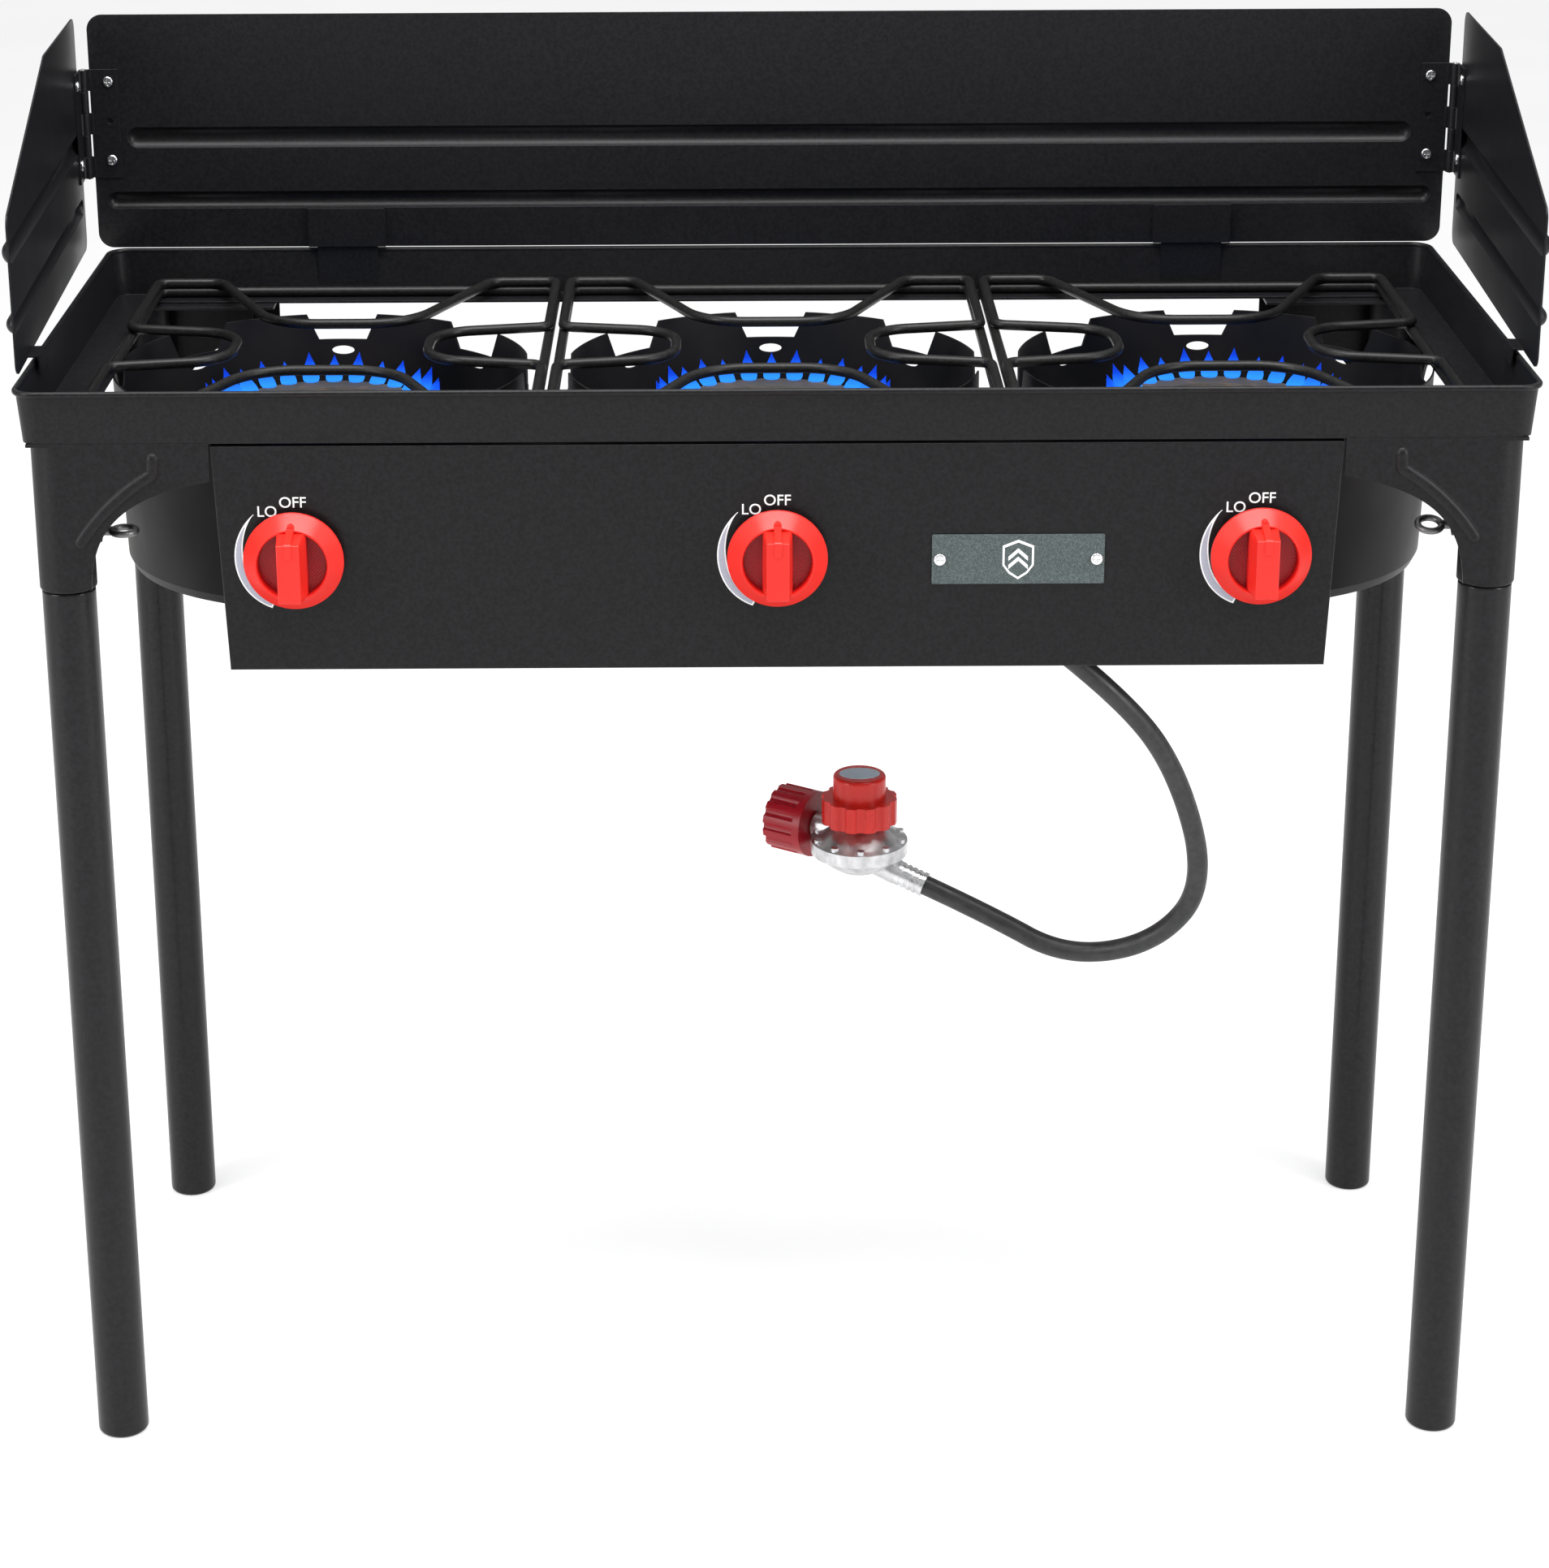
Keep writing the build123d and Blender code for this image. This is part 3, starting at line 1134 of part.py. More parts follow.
def leaf_holes(leaf, points, direction):
    for point in points:
        start = Vector(*point) - Vector(*direction) * 3.0
        end = Vector(*point) + Vector(*direction) * 3.0
        leaf -= cylinder_between((start.X, start.Y, start.Z), (end.X, end.Y, end.Z), SCREW_HOLE)
    return leaf


def hinge_leaf_back(side):
    """Leaf on the front of the back sheet, with its knuckles round the pin."""
    face = SCREEN_FRONT_Y
    inner_x = -PIN_X + LEAF_WIDTH + KNUCKLE_RADIUS
    edge_x = -PIN_X + KNUCKLE_RADIUS + LEAF_EDGE_GAP
    leaf = block((edge_x, inner_x), (face - LEAF_SHEET, face), (HINGE_LOW, HINGE_HIGH))
    for low, high in knuckles(0):
        leaf += cylinder_between((-PIN_X, PIN_Y, low), (-PIN_X, PIN_Y, high), KNUCKLE_RADIUS)
        web_y = face - LEAF_SHEET - LEAF_STEP
        leaf += block((-PIN_X, edge_x + LEAF_SHEET), (web_y, web_y + LEAF_SHEET), (low, high))
    leaf -= cylinder_between((-PIN_X, PIN_Y, HINGE_LOW - 1), (-PIN_X, PIN_Y, HINGE_HIGH + 1), PIN_RADIUS)
    holes = [(-HINGE_SCREW_X, face, z) for z in (*HINGE_SCREW_ZS, sum(HINGE_SCREW_ZS) / 2)]
    leaf = leaf_holes(leaf, holes, (0, 1, 0))
    return leaf if side < 0 else mirror(leaf, about=Plane.YZ)


def hinge_leaf_wing(side):
    """Leaf on the inner face of the wing, with its knuckles round the pin."""
    face = WING_INNER_X
    front_y = PIN_Y - LEAF_WIDTH - KNUCKLE_RADIUS
    edge_y = PIN_Y - KNUCKLE_RADIUS - LEAF_EDGE_GAP
    leaf = block((face, face + LEAF_SHEET), (front_y, edge_y), (HINGE_LOW, HINGE_HIGH))
    for low, high in knuckles(1):
        leaf += cylinder_between((-PIN_X, PIN_Y, low), (-PIN_X, PIN_Y, high), KNUCKLE_RADIUS)
        web_x = face + LEAF_STEP
        leaf += block((web_x, web_x + LEAF_SHEET), (edge_y - LEAF_SHEET, PIN_Y), (low, high))
    pin_hole = PIN_RADIUS + PIN_RUNNING_GAP
    leaf -= cylinder_between((-PIN_X, PIN_Y, HINGE_LOW - 1), (-PIN_X, PIN_Y, HINGE_HIGH + 1), pin_hole)
    holes = [(face, WING_SCREW_Y, z) for z in HINGE_SCREW_ZS]
    return toed_in(leaf_holes(leaf, holes, (1, 0, 0)), side)


def hinge_pins():
    return group(
        cylinder_between(
            (side * PIN_X, PIN_Y, HINGE_LOW - 0.5),
            (side * PIN_X, PIN_Y, HINGE_HIGH + 0.5),
            PIN_RADIUS,
        )
        for side in (-1, 1)
    )


def back_hinge_screws():
    return group(
        pan_screw((side * HINGE_SCREW_X, SCREEN_FRONT_Y - LEAF_SHEET, z), (0, 1, 0), SCREW_SHANK, 5.0)
        for side in (-1, 1)
        for z in HINGE_SCREW_ZS
    )


def wing_hinge_screws(side):
    head_x = WING_INNER_X + LEAF_SHEET
    screws = [pan_screw((head_x, WING_SCREW_Y, z), (-1, 0, 0), SCREW_SHANK, 5.0) for z in HINGE_SCREW_ZS]
    return group(toed_in(screw, side) for screw in screws)


# ---------------------------------------------------------------- build
def corners():
    """Name and mirror flags of the four corners."""
    for end, flip_y in (("front", False), ("rear", True)):
        for side, flip_x in (("left", False), ("right", True)):
            yield f"{end}_{side}", flip_x, flip_y


def main():
    os.makedirs("parts", exist_ok=True)
    write("tray_frame", tray_frame())
    for place, flip_x, flip_y in corners():
        write(f"corner_bracket_{place}", corner_bracket(flip_x, flip_y))
        write(f"leg_{place}", leg(flip_x, flip_y))
        write(f"eye_screw_{place}", eye_screw(flip_x, flip_y))
    write("rear_rail", rear_rail())
    write("control_panel", control_panel())
    write("label_plate", label_plate())
    write("label_screws", label_screws())
    write("cup_arms", cup_arms())
    write("support_bolts", support_bolts())
    write("gas_manifold", gas_manifold())
    write("manifold_plugs", manifold_plugs())
    write("valve_bodies", group(valve_body(x) for x in BURNER_XS))
    write("gas_nozzles", group(gas_nozzle(x) for x in BURNER_XS))
    write("burner_bases", group(burner_base(x) for x in BURNER_XS))
    write("burner_caps", group(burner_cap(x) for x in BURNER_XS))
    for name, x in zip(SIDE_NAMES, BURNER_XS):
        write(f"wind_cup_{name}", wind_cup(x))
        write(f"air_shutter_{name}", air_shutter(x))
        write(f"push_collar_{name}", push_collar(x))
        write(f"valve_stem_{name}", valve_stem(x))
        write(f"control_knob_{name}", control_knob(x))
    for name, step in zip(SIDE_NAMES, (-1, 0, 1)):
        write(f"grate_{name}", grate(step * GRATE_PITCH))
    write("windscreen_back", windscreen_back())
    write("hinge_leaves_back", group(hinge_leaf_back(side) for side in (-1, 1)))
    write("hinge_pins", hinge_pins())
    write("hinge_screws_back", back_hinge_screws())
    for name, side in (("left", -1), ("right", 1)):
        write(f"windscreen_wing_{name}", wing(side))
        write(f"hinge_leaf_wing_{name}", hinge_leaf_wing(side))
        write(f"hinge_screws_wing_{name}", wing_hinge_screws(side))
    write("inlet_fitting", inlet_fitting())
    write("hose_ferrules", hose_ferrules())
    write("gas_hose", gas_hose())
    write("regulator_body", regulator_body())
    write("regulator_knob", regulator_knob())
    write("coupling_nut", coupling_nut())
    write("coupling_nipple", coupling_nipple())


main()
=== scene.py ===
"""Looks for a propane burner stand: powder-coated sheet steel, moulded red knobs, zinc and brass fittings,
a rubber gas hose, printed dial marks and a plain studio. Lengths are metres, in the stove's own frame."""

import bpy
import numpy as np
from bpy.props import FloatProperty, FloatVectorProperty, PointerProperty
from mathutils import Matrix, Vector


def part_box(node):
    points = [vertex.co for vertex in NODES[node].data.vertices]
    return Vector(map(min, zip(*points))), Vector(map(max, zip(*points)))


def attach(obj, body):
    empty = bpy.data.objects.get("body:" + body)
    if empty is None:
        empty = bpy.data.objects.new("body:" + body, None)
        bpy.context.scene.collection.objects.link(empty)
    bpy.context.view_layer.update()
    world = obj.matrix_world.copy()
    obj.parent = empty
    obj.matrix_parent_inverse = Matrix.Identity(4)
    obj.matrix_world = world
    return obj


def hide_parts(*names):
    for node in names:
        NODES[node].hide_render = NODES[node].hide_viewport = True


bl_info = {
    "name": "Burner stand finisher",
    "version": (1, 0, 0),
    "blender": (4, 5, 0),
    "location": "View3D > Sidebar > Burner stand",
    "description": "Finishes a packed propane burner stand and sets up its studio",
    "category": "Object",
}

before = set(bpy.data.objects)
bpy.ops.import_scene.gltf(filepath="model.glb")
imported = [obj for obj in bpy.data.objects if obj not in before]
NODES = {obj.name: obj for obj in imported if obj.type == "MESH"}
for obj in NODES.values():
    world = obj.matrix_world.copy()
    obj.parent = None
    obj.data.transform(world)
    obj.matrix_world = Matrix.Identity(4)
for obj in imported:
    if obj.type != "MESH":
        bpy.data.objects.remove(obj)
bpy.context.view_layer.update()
SIDES = ("left", "centre", "right")
CORNERS = ("front_left", "front_right", "rear_left", "rear_right")
STOVE = "stove_frame"

# Gas hose: the control points of its centreline, from the inlet fitting to the regulator.
HOSE_ROUTE = (
    (0.1720, -0.15475, 0.5795),
    (0.2160, -0.15475, 0.5450),
    (0.2640, -0.13675, 0.4840),
    (0.2930, -0.10875, 0.3840),
    (0.2610, -0.08875, 0.3310),
    (0.2020, -0.06875, 0.3125),
    (0.1500, -0.04675, 0.3350),
    (0.1060, -0.02975, 0.3505),
)

# Control knob: its well, which carries painted shade and a diamond texture, as depths in front of the knob's
# back face.
KNOB_FACE_DEPTH = 0.013
KNOB_FLOOR_DEPTH = 0.0070
KNOB_WELL_RADIUS = 0.0222

# Dial crescent: angles in degrees from the right, anticlockwise; shares of the sweep; widths.
SWEEP_START = 131.0
SWEEP_ANGLE = 114.0
SWEEP_FULL_TO = 0.72
SWEEP_WIDE_FROM = 0.55
SWEEP_RADIUS = 0.0384
SWEEP_DRAW_IN = 0.0012
SWEEP_WIDTH = 0.0060
SWEEP_THINNEST = 0.0004
SWEEP_BORDER = 0.0009
SWEEP_FILL_SPAN = (0.14, 0.985)

# Flames: how many round a burner, where their feet stand, how far their tips lean out, and their width.
FLAME_COUNT = 28
FLAME_FOOT_RADIUS = 0.066
FLAME_LEAN = 0.014
FLAME_RADIUS = 0.0072
FLAME_SINK = 0.004

FLOOR_REACH = 12.0


# ---------------------------------------------------------------- what a user may change
class StoveStage(bpy.types.PropertyGroup):
    """Where the camera stands and how bright the studio is."""

    eye: FloatVectorProperty(
        name="Camera place",
        description="Where the camera stands, in the stove's frame",
        default=(-0.0325, -2.3772, 1.3560),
        subtype="TRANSLATION",
        unit="LENGTH",
    )
    pitch: FloatProperty(
        name="Camera pitch",
        description="How far the camera looks down",
        default=0.3248,
        subtype="ANGLE",
    )
    roll: FloatProperty(
        name="Camera roll",
        description="How far the camera leans",
        default=0.0049,
        subtype="ANGLE",
    )
    focal: FloatProperty(
        name="Focal length",
        description="Lens length on a 36 mm long side, in millimetres",
        default=83.21,
        subtype="NONE",
    )
    shift_x: FloatProperty(
        name="Shift across",
        description="Sideways lens shift",
        default=0.0306,
        subtype="FACTOR",
    )
    shift_y: FloatProperty(
        name="Shift up",
        description="Vertical lens shift",
        default=-0.120,
        subtype="FACTOR",
    )
    key_power: FloatProperty(
        name="Key light",
        description="Power of the large overhead softbox",
        default=120.0,
        unit="POWER",
    )
    side_power: FloatProperty(
        name="Side lights",
        description="Power of each tall side softbox",
        default=55.0,
        unit="POWER",
    )
    sky: FloatProperty(
        name="Room light",
        description="Strength of the room's light from above; it fades towards the ground",
        default=0.9,
        subtype="FACTOR",
    )


class StoveFinishes(bpy.types.PropertyGroup):
    """Colours and roughness of the stove's finishes."""

    steel: FloatVectorProperty(
        name="Powder coat",
        description="Colour of the coated sheet steel",
        default=(0.0060, 0.0060, 0.0068),
        subtype="COLOR",
    )
    steel_roughness: FloatProperty(
        name="Powder coat roughness",
        description="Roughness of the coated sheet steel",
        default=0.40,
        subtype="FACTOR",
    )
    wire: FloatVectorProperty(
        name="Grate enamel",
        description="Colour of the wire grates",
        default=(0.0085, 0.0082, 0.0080),
        subtype="COLOR",
    )
    knob: FloatVectorProperty(
        name="Knob red",
        description="Colour of the moulded knobs",
        default=(0.72, 0.020, 0.013),
        subtype="COLOR",
    )
    nut: FloatVectorProperty(
        name="Hand nut red",
        description="Colour of the hand nut",
        default=(0.30, 0.004, 0.012),
        subtype="COLOR",
    )
    zinc: FloatVectorProperty(
        name="Zinc",
        description="Colour of zinc-plated and die-cast pieces",
        default=(0.66, 0.66, 0.67),
        subtype="COLOR",
    )
    brass: FloatVectorProperty(
        name="Brass",
        description="Colour of the brass fittings",
        default=(0.70, 0.47, 0.20),
        subtype="COLOR",
    )
    iron: FloatVectorProperty(
        name="Cast iron",
        description="Colour of the burners",
        default=(0.045, 0.042, 0.040),
        subtype="COLOR",
    )
    ink: FloatVectorProperty(
        name="Ink",
        description="Colour of the printed dial marks",
        default=(0.86, 0.87, 0.88),
        subtype="COLOR",
    )
    plate: FloatVectorProperty(
        name="Name plate",
        description="Colour of the plain name plate",
        default=(0.050, 0.066, 0.066),
        subtype="COLOR",
    )


class StoveDetails(bpy.types.PropertyGroup):
    """Sizes of the pieces added to the stove."""

    hose_diameter: FloatProperty(
        name="Hose diameter",
        description="Outer diameter of the gas hose",
        default=0.014,
        unit="LENGTH",
    )
    letter_height: FloatProperty(
        name="Letter height",
        description="Height of the capital letters on the dials",
        default=0.0070,
        unit="LENGTH",
    )
    ink_thickness: FloatProperty(
        name="Ink thickness",
        description="How far the print stands off the panel",
        default=0.00015,
        unit="LENGTH",
    )
    flame_height: FloatProperty(
        name="Flame height",
        description="Height of each small flame of the lit burners",
        default=0.022,
        unit="LENGTH",
    )


# ---------------------------------------------------------------- finishes
class Finish:
    """One node material: a shader whose colour, roughness and relief come from noise on Object
    coordinates."""

    def __init__(self, name, colour, roughness, metallic=0.0):
        self.material = bpy.data.materials.new(name)
        self.material.use_nodes = True
        self.tree = self.material.node_tree
        self.shader = next(n for n in self.tree.nodes if n.type == "BSDF_PRINCIPLED")
        self.shader.inputs["Base Color"].default_value = (*colour, 1.0)
        self.shader.inputs["Roughness"].default_value = roughness
        self.shader.inputs["Metallic"].default_value = metallic
        self.material.diffuse_color = (*colour, 1.0)
        self.where = self.tree.nodes.new("ShaderNodeTexCoord").outputs["Object"]
        self.relief = None

    def node(self, kind, **properties):
        """A new node with its named properties set."""
        made = self.tree.nodes.new(kind)
        for key, value in properties.items():
            setattr(made, key, value)
        return made

    def join(self, output, socket):
        self.tree.links.new(output, socket)

    def noise(self, scale, detail=3.0, stretch=None):
        """Noise from 0 to 1 on the piece's own coordinates, stretched along an axis where asked."""
        grain = self.node("ShaderNodeTexNoise")
        grain.inputs["Scale"].default_value = scale
        grain.inputs["Detail"].default_value = detail
        source = self.where
        if stretch is not None:
            mapping = self.node("ShaderNodeMapping")
            mapping.inputs["Scale"].default_value = stretch
            self.join(source, mapping.inputs["Vector"])
            source = mapping.outputs["Vector"]
        self.join(source, grain.inputs["Vector"])
        return grain.outputs["Fac"]

    def spread(self, factor, low, high, from_low=0.3, from_high=0.7):
        """A number that runs from low to high as the factor runs over its middle."""
        span = self.node("ShaderNodeMapRange")
        span.inputs["From Min"].default_value = from_low
        span.inputs["From Max"].default_value = from_high
        span.inputs["To Min"].default_value = low
        span.inputs["To Max"].default_value = high
        self.join(factor, span.inputs["Value"])
        return span.outputs["Result"]

    def mottle(self, factor, dark, light, low=0.35, high=0.65):
        """Colour that runs between two tones with the factor."""
        ramp = self.node("ShaderNodeValToRGB")
        ramp.color_ramp.elements[0].position = low
        ramp.color_ramp.elements[0].color = (*dark, 1.0)
        ramp.color_ramp.elements[1].position = high
        ramp.color_ramp.elements[1].color = (*light, 1.0)
        self.join(factor, ramp.inputs["Fac"])
        return ramp.outputs["Color"]

    def colour(self, output):
        self.join(output, self.shader.inputs["Base Color"])

    def roughness(self, output):
        self.join(output, self.shader.inputs["Roughness"])

    def soften_edges(self, radius):
        """Rounds sharp edges in the shading by the given radius."""
        edge = self.node("ShaderNodeBevel", samples=4)
        edge.inputs["Radius"].default_value = radius
        self.relief = edge.outputs["Normal"]
        self.join(self.relief, self.shader.inputs["Normal"])

    def grain(self, factor, height, strength=1.0):
        """Relief of the given height in metres, added on top of what is there."""
        bump = self.node("ShaderNodeBump")
        bump.inputs["Strength"].default_value = strength
        bump.inputs["Distance"].default_value = height
        self.join(factor, bump.inputs["Height"])
        if self.relief is not None:
            self.join(self.relief, bump.inputs["Normal"])
        self.relief = bump.outputs["Normal"]
        self.join(self.relief, self.shader.inputs["Normal"])


def tone(colour, factor):
    return tuple(min(1.0, channel * factor) for channel in colour)


def powder_coat(name, colour, roughness, peel=0.00006, edge=0.0006):
    """Baked powder coat: fine orange peel, a few duller patches and faint dust in the colour."""
    coat = Finish(name, colour, roughness)
    coat.soften_edges(edge)
    coat.grain(coat.noise(900.0, 2.0), peel, 0.35)
    coat.grain(coat.noise(160.0, 2.0), peel * 3.0, 0.16)
    coat.roughness(coat.spread(coat.noise(7.0, 4.0), roughness - 0.05, roughness + 0.07))
    coat.colour(coat.mottle(coat.noise(420.0, 4.0), tone(colour, 0.75), tone(colour, 1.5)))
    coat.shader.inputs["Specular IOR Level"].default_value = 0.22
    return coat.material


def tube_enamel(name, colour, roughness):
    """Glossier coat on the round tube legs, with fine draw lines along the tube."""
    coat = Finish(name, colour, roughness)
    coat.soften_edges(0.0006)
    coat.grain(coat.noise(700.0, 2.0, (1.0, 1.0, 0.05)), 0.00004, 0.25)
    coat.grain(coat.noise(900.0, 2.0), 0.00004, 0.2)
    coat.roughness(coat.spread(coat.noise(9.0, 4.0, (1.0, 1.0, 0.3)), roughness - 0.04, roughness + 0.07))
    coat.colour(coat.mottle(coat.noise(300.0, 4.0), tone(colour, 0.8), tone(colour, 1.5)))
    coat.shader.inputs["Specular IOR Level"].default_value = 0.24
    return coat.material


def heated_coat(name, colour, roughness):
    """Powder coat of the wind cups: a duller, browner, slightly scorched patch pattern."""
    coat = Finish(name, colour, roughness)
    coat.soften_edges(0.0005)
    coat.grain(coat.noise(700.0, 2.0), 0.00006, 0.3)
    coat.roughness(coat.spread(coat.noise(12.0, 5.0), roughness - 0.05, roughness + 0.12))
    scorch = (colour[0] * 1.9, colour[1] * 1.6, colour[2] * 1.3)
    coat.colour(coat.mottle(coat.noise(16.0, 5.0), tone(colour, 0.8), scorch, 0.4, 0.75))
    coat.shader.inputs["Specular IOR Level"].default_value = 0.2
    return coat.material


def sand_cast(name, colour):
    """Raw cast iron: pitted, matt, with rusty brown specks."""
    iron = Finish(name, colour, 0.72, 0.35)
    iron.soften_edges(0.0006)
    iron.grain(iron.noise(520.0, 5.0), 0.00035, 0.6)
    iron.grain(iron.noise(130.0, 3.0), 0.0006, 0.3)
    iron.roughness(iron.spread(iron.noise(60.0, 4.0), 0.58, 0.85))
    rust = (colour[0] * 2.2, colour[1] * 1.5, colour[2] * 1.05)
    iron.colour(iron.mottle(iron.noise(90.0, 6.0), colour, rust, 0.5, 0.8))
    return iron.material


def moulded_plastic(name, colour, roughness=0.36):
    """Injection moulding: spark-eroded fine grain, soft light inside the colour."""
    plastic = Finish(name, colour, roughness)
    plastic.soften_edges(0.0005)
    plastic.grain(plastic.noise(2600.0, 2.0), 0.00003, 0.35)
    plastic.roughness(plastic.spread(plastic.noise(40.0, 3.0), roughness - 0.04, roughness + 0.06))
    plastic.colour(plastic.mottle(plastic.noise(30.0, 3.0), tone(colour, 0.93), tone(colour, 1.06)))
    plastic.shader.inputs["Specular IOR Level"].default_value = 0.35
    return plastic.material


def knob_plastic(name, colour, axis_point, face_y, floor_y, well_radius):
    """Knob moulding whose well is coloured a darker red as painted shade, with a fine diamond texture.
    The well is the part within well_radius of the knob's axis that lies between its face and its floor;
    the axis runs along Y."""
    plastic = Finish(name, colour, 0.34)
    plastic.soften_edges(0.0005)
    place = plastic.node("ShaderNodeMapping")
    place.inputs["Location"].default_value = (-axis_point[0], 0.0, -axis_point[2])
    plastic.join(plastic.where, place.inputs["Vector"])
    flat = plastic.node("ShaderNodeVectorMath", operation="MULTIPLY")
    flat.inputs[1].default_value = (1.0, 0.0, 1.0)
    plastic.join(place.outputs["Vector"], flat.inputs[0])
    reach = plastic.node("ShaderNodeVectorMath", operation="LENGTH")
    plastic.join(flat.outputs["Vector"], reach.inputs[0])
    inside = plastic.spread(reach.outputs["Value"], 1.0, 0.0, well_radius, well_radius + 0.0006)
    split = plastic.node("ShaderNodeSeparateXYZ")
    plastic.join(plastic.where, split.inputs["Vector"])
    sunk = plastic.spread(split.outputs["Y"], 0.0, 1.0, face_y, floor_y)
    well = plastic.node("ShaderNodeMath", operation="MULTIPLY")
    plastic.join(inside, well.inputs[0])
    plastic.join(sunk, well.inputs[1])
    body = plastic.mottle(plastic.noise(30.0, 3.0), tone(colour, 0.94), tone(colour, 1.05))
    # Painted shade: the well is coloured a darker red, standing in for the shade that falls in the recess.
    shade = plastic.node("ShaderNodeMix", data_type="RGBA")
    plastic.join(well.outputs["Value"], shade.inputs["Factor"])
    plastic.join(body, shade.inputs["A"])
    shade.inputs["B"].default_value = (colour[0] * 0.42, colour[1] * 0.08, colour[2] * 0.5, 1.0)
    plastic.colour(shade.outputs["Result"])
    weave = [
        plastic.node("ShaderNodeTexWave", bands_direction=direction, wave_profile="TRI") for direction in "XZ"
    ]
    turn = plastic.node("ShaderNodeMapping")
    turn.inputs["Rotation"].default_value = (0.0, np.pi / 4, 0.0)
    plastic.join(place.outputs["Vector"], turn.inputs["Vector"])
    ridge = plastic.node("ShaderNodeMath", operation="ADD")
    for wave, socket in zip(weave, ridge.inputs[:2]):
        wave.inputs["Scale"].default_value = 190.0
        plastic.join(turn.outputs["Vector"], wave.inputs["Vector"])
        plastic.join(wave.outputs["Fac"], socket)
    raised = plastic.node("ShaderNodeMath", operation="MULTIPLY")
    plastic.join(ridge.outputs["Value"], raised.inputs[0])
    plastic.join(well.outputs["Value"], raised.inputs[1])
    plastic.grain(raised.outputs["Value"], 0.00015, 0.5)
    plastic.grain(plastic.noise(2600.0, 2.0), 0.00003, 0.3)
    plastic.shader.inputs["Specular IOR Level"].default_value = 0.35
    return plastic.material


def plated(name, colour, roughness=0.28, grain=0.00004):
    """Zinc plating or die casting: bright metal with cloudy, slightly uneven shine."""
    metal = Finish(name, colour, roughness, 1.0)
    metal.soften_edges(0.0003)
    metal.grain(metal.noise(1400.0, 3.0), grain, 0.3)
    metal.roughness(metal.spread(metal.noise(110.0, 4.0), roughness - 0.06, roughness + 0.12))
    metal.colour(metal.mottle(metal.noise(150.0, 4.0), tone(colour, 0.82), tone(colour, 1.1)))
    return metal.material


def tarnished_brass(name, colour):
    """Turned brass with brown tarnish in patches."""
    brass = Finish(name, colour, 0.3, 1.0)
    brass.soften_edges(0.0003)
    brass.grain(brass.noise(900.0, 3.0), 0.00004, 0.3)
    brass.roughness(brass.spread(brass.noise(70.0, 4.0), 0.22, 0.46))
    brass.colour(brass.mottle(brass.noise(60.0, 5.0), tone(colour, 0.55), tone(colour, 1.1), 0.3, 0.7))
    return brass.material


def hose_rubber(name):
    """Extruded black rubber with a fine grain, uneven roughness and faint dust."""
    rubber = Finish(name, (0.011, 0.011, 0.012), 0.42)
    rubber.grain(rubber.noise(1500.0, 3.0), 0.00004, 0.4)
    rubber.roughness(rubber.spread(rubber.noise(60.0, 4.0), 0.34, 0.52))
    rubber.colour(rubber.mottle(rubber.noise(220.0, 4.0), (0.008, 0.008, 0.009), (0.02, 0.02, 0.021)))
    return rubber.material


def slate_print(name, colour):
    """Dark slate name plate: a speckled, satin printed film."""
    film = Finish(name, colour, 0.45)
    film.soften_edges(0.0003)
    film.grain(film.noise(1800.0, 2.0), 0.00003, 0.3)
    film.roughness(film.spread(film.noise(500.0, 3.0), 0.38, 0.55))
    film.colour(film.mottle(film.noise(1500.0, 5.0), tone(colour, 0.72), tone(colour, 1.9), 0.42, 0.66))
    return film.material


def screen_ink(name, colour):
    """Screen-printed ink: satin, with slightly thin spots."""
    ink = Finish(name, colour, 0.5)
    ink.roughness(ink.spread(ink.noise(800.0, 3.0), 0.42, 0.6))
    ink.colour(ink.mottle(ink.noise(1400.0, 4.0), tone(colour, 0.88), colour, 0.3, 0.6))
    return ink.material


def flame_glow(name, low, high, foot, tip, strength, solid_foot, solid_tip):
    """Burning gas: light only, which runs from one blue at the foot to another at the tip and thins out
    upwards."""
    fire = Finish(name, low, 1.0)
    split = fire.node("ShaderNodeSeparateXYZ")
    fire.join(fire.where, split.inputs["Vector"])
    rise = fire.spread(split.outputs["Z"], 0.0, 1.0, foot, tip)
    fire.join(fire.mottle(rise, low, high, 0.1, 0.8), fire.shader.inputs["Emission Color"])
    fire.join(fire.spread(rise, solid_foot, solid_tip, 0.0, 1.0), fire.shader.inputs["Alpha"])
    fire.shader.inputs["Base Color"].default_value = (0.0, 0.0, 0.0, 1.0)
    fire.shader.inputs["Specular IOR Level"].default_value = 0.0
    fire.shader.inputs["Emission Strength"].default_value = strength
    return fire.material


def give(material, *names):
    """Puts a material on whole CAD nodes."""
    for name in names:
        slots = NODES[name].data.materials
        slots.clear()
        slots.append(material)


# ---------------------------------------------------------------- shapes
def grid_faces(rows, columns, wrap_rows=False, wrap_columns=False):
    """Quads over a grid of points numbered row by row; a wrapped direction joins its last line to its
    first."""
    r = np.arange(rows if wrap_rows else rows - 1)
    c = np.arange(columns if wrap_columns else columns - 1)
    rr, cc = np.meshgrid(r, c, indexing="ij")
    nr, nc = (rr + 1) % rows, (cc + 1) % columns
    quads = np.stack([rr * columns + cc, rr * columns + nc, nr * columns + nc, nr * columns + cc], axis=-1)
    return quads.reshape(-1, 4)


def surface(name, points, faces, material, body, smooth=True):
    """A mesh object from arrays of points and faces, riding on a body."""
    mesh = bpy.data.meshes.new(name)
    corners = np.asarray(points, float).reshape(-1, 3).tolist()
    mesh.from_pydata(corners, [], [list(map(int, face)) for face in faces])
    mesh.update()
    mesh.materials.append(material)
    mesh.polygons.foreach_set("use_smooth", np.full(len(mesh.polygons), smooth))
    piece = bpy.data.objects.new(name, mesh)
    bpy.context.scene.collection.objects.link(piece)
    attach(piece, body)
    return piece


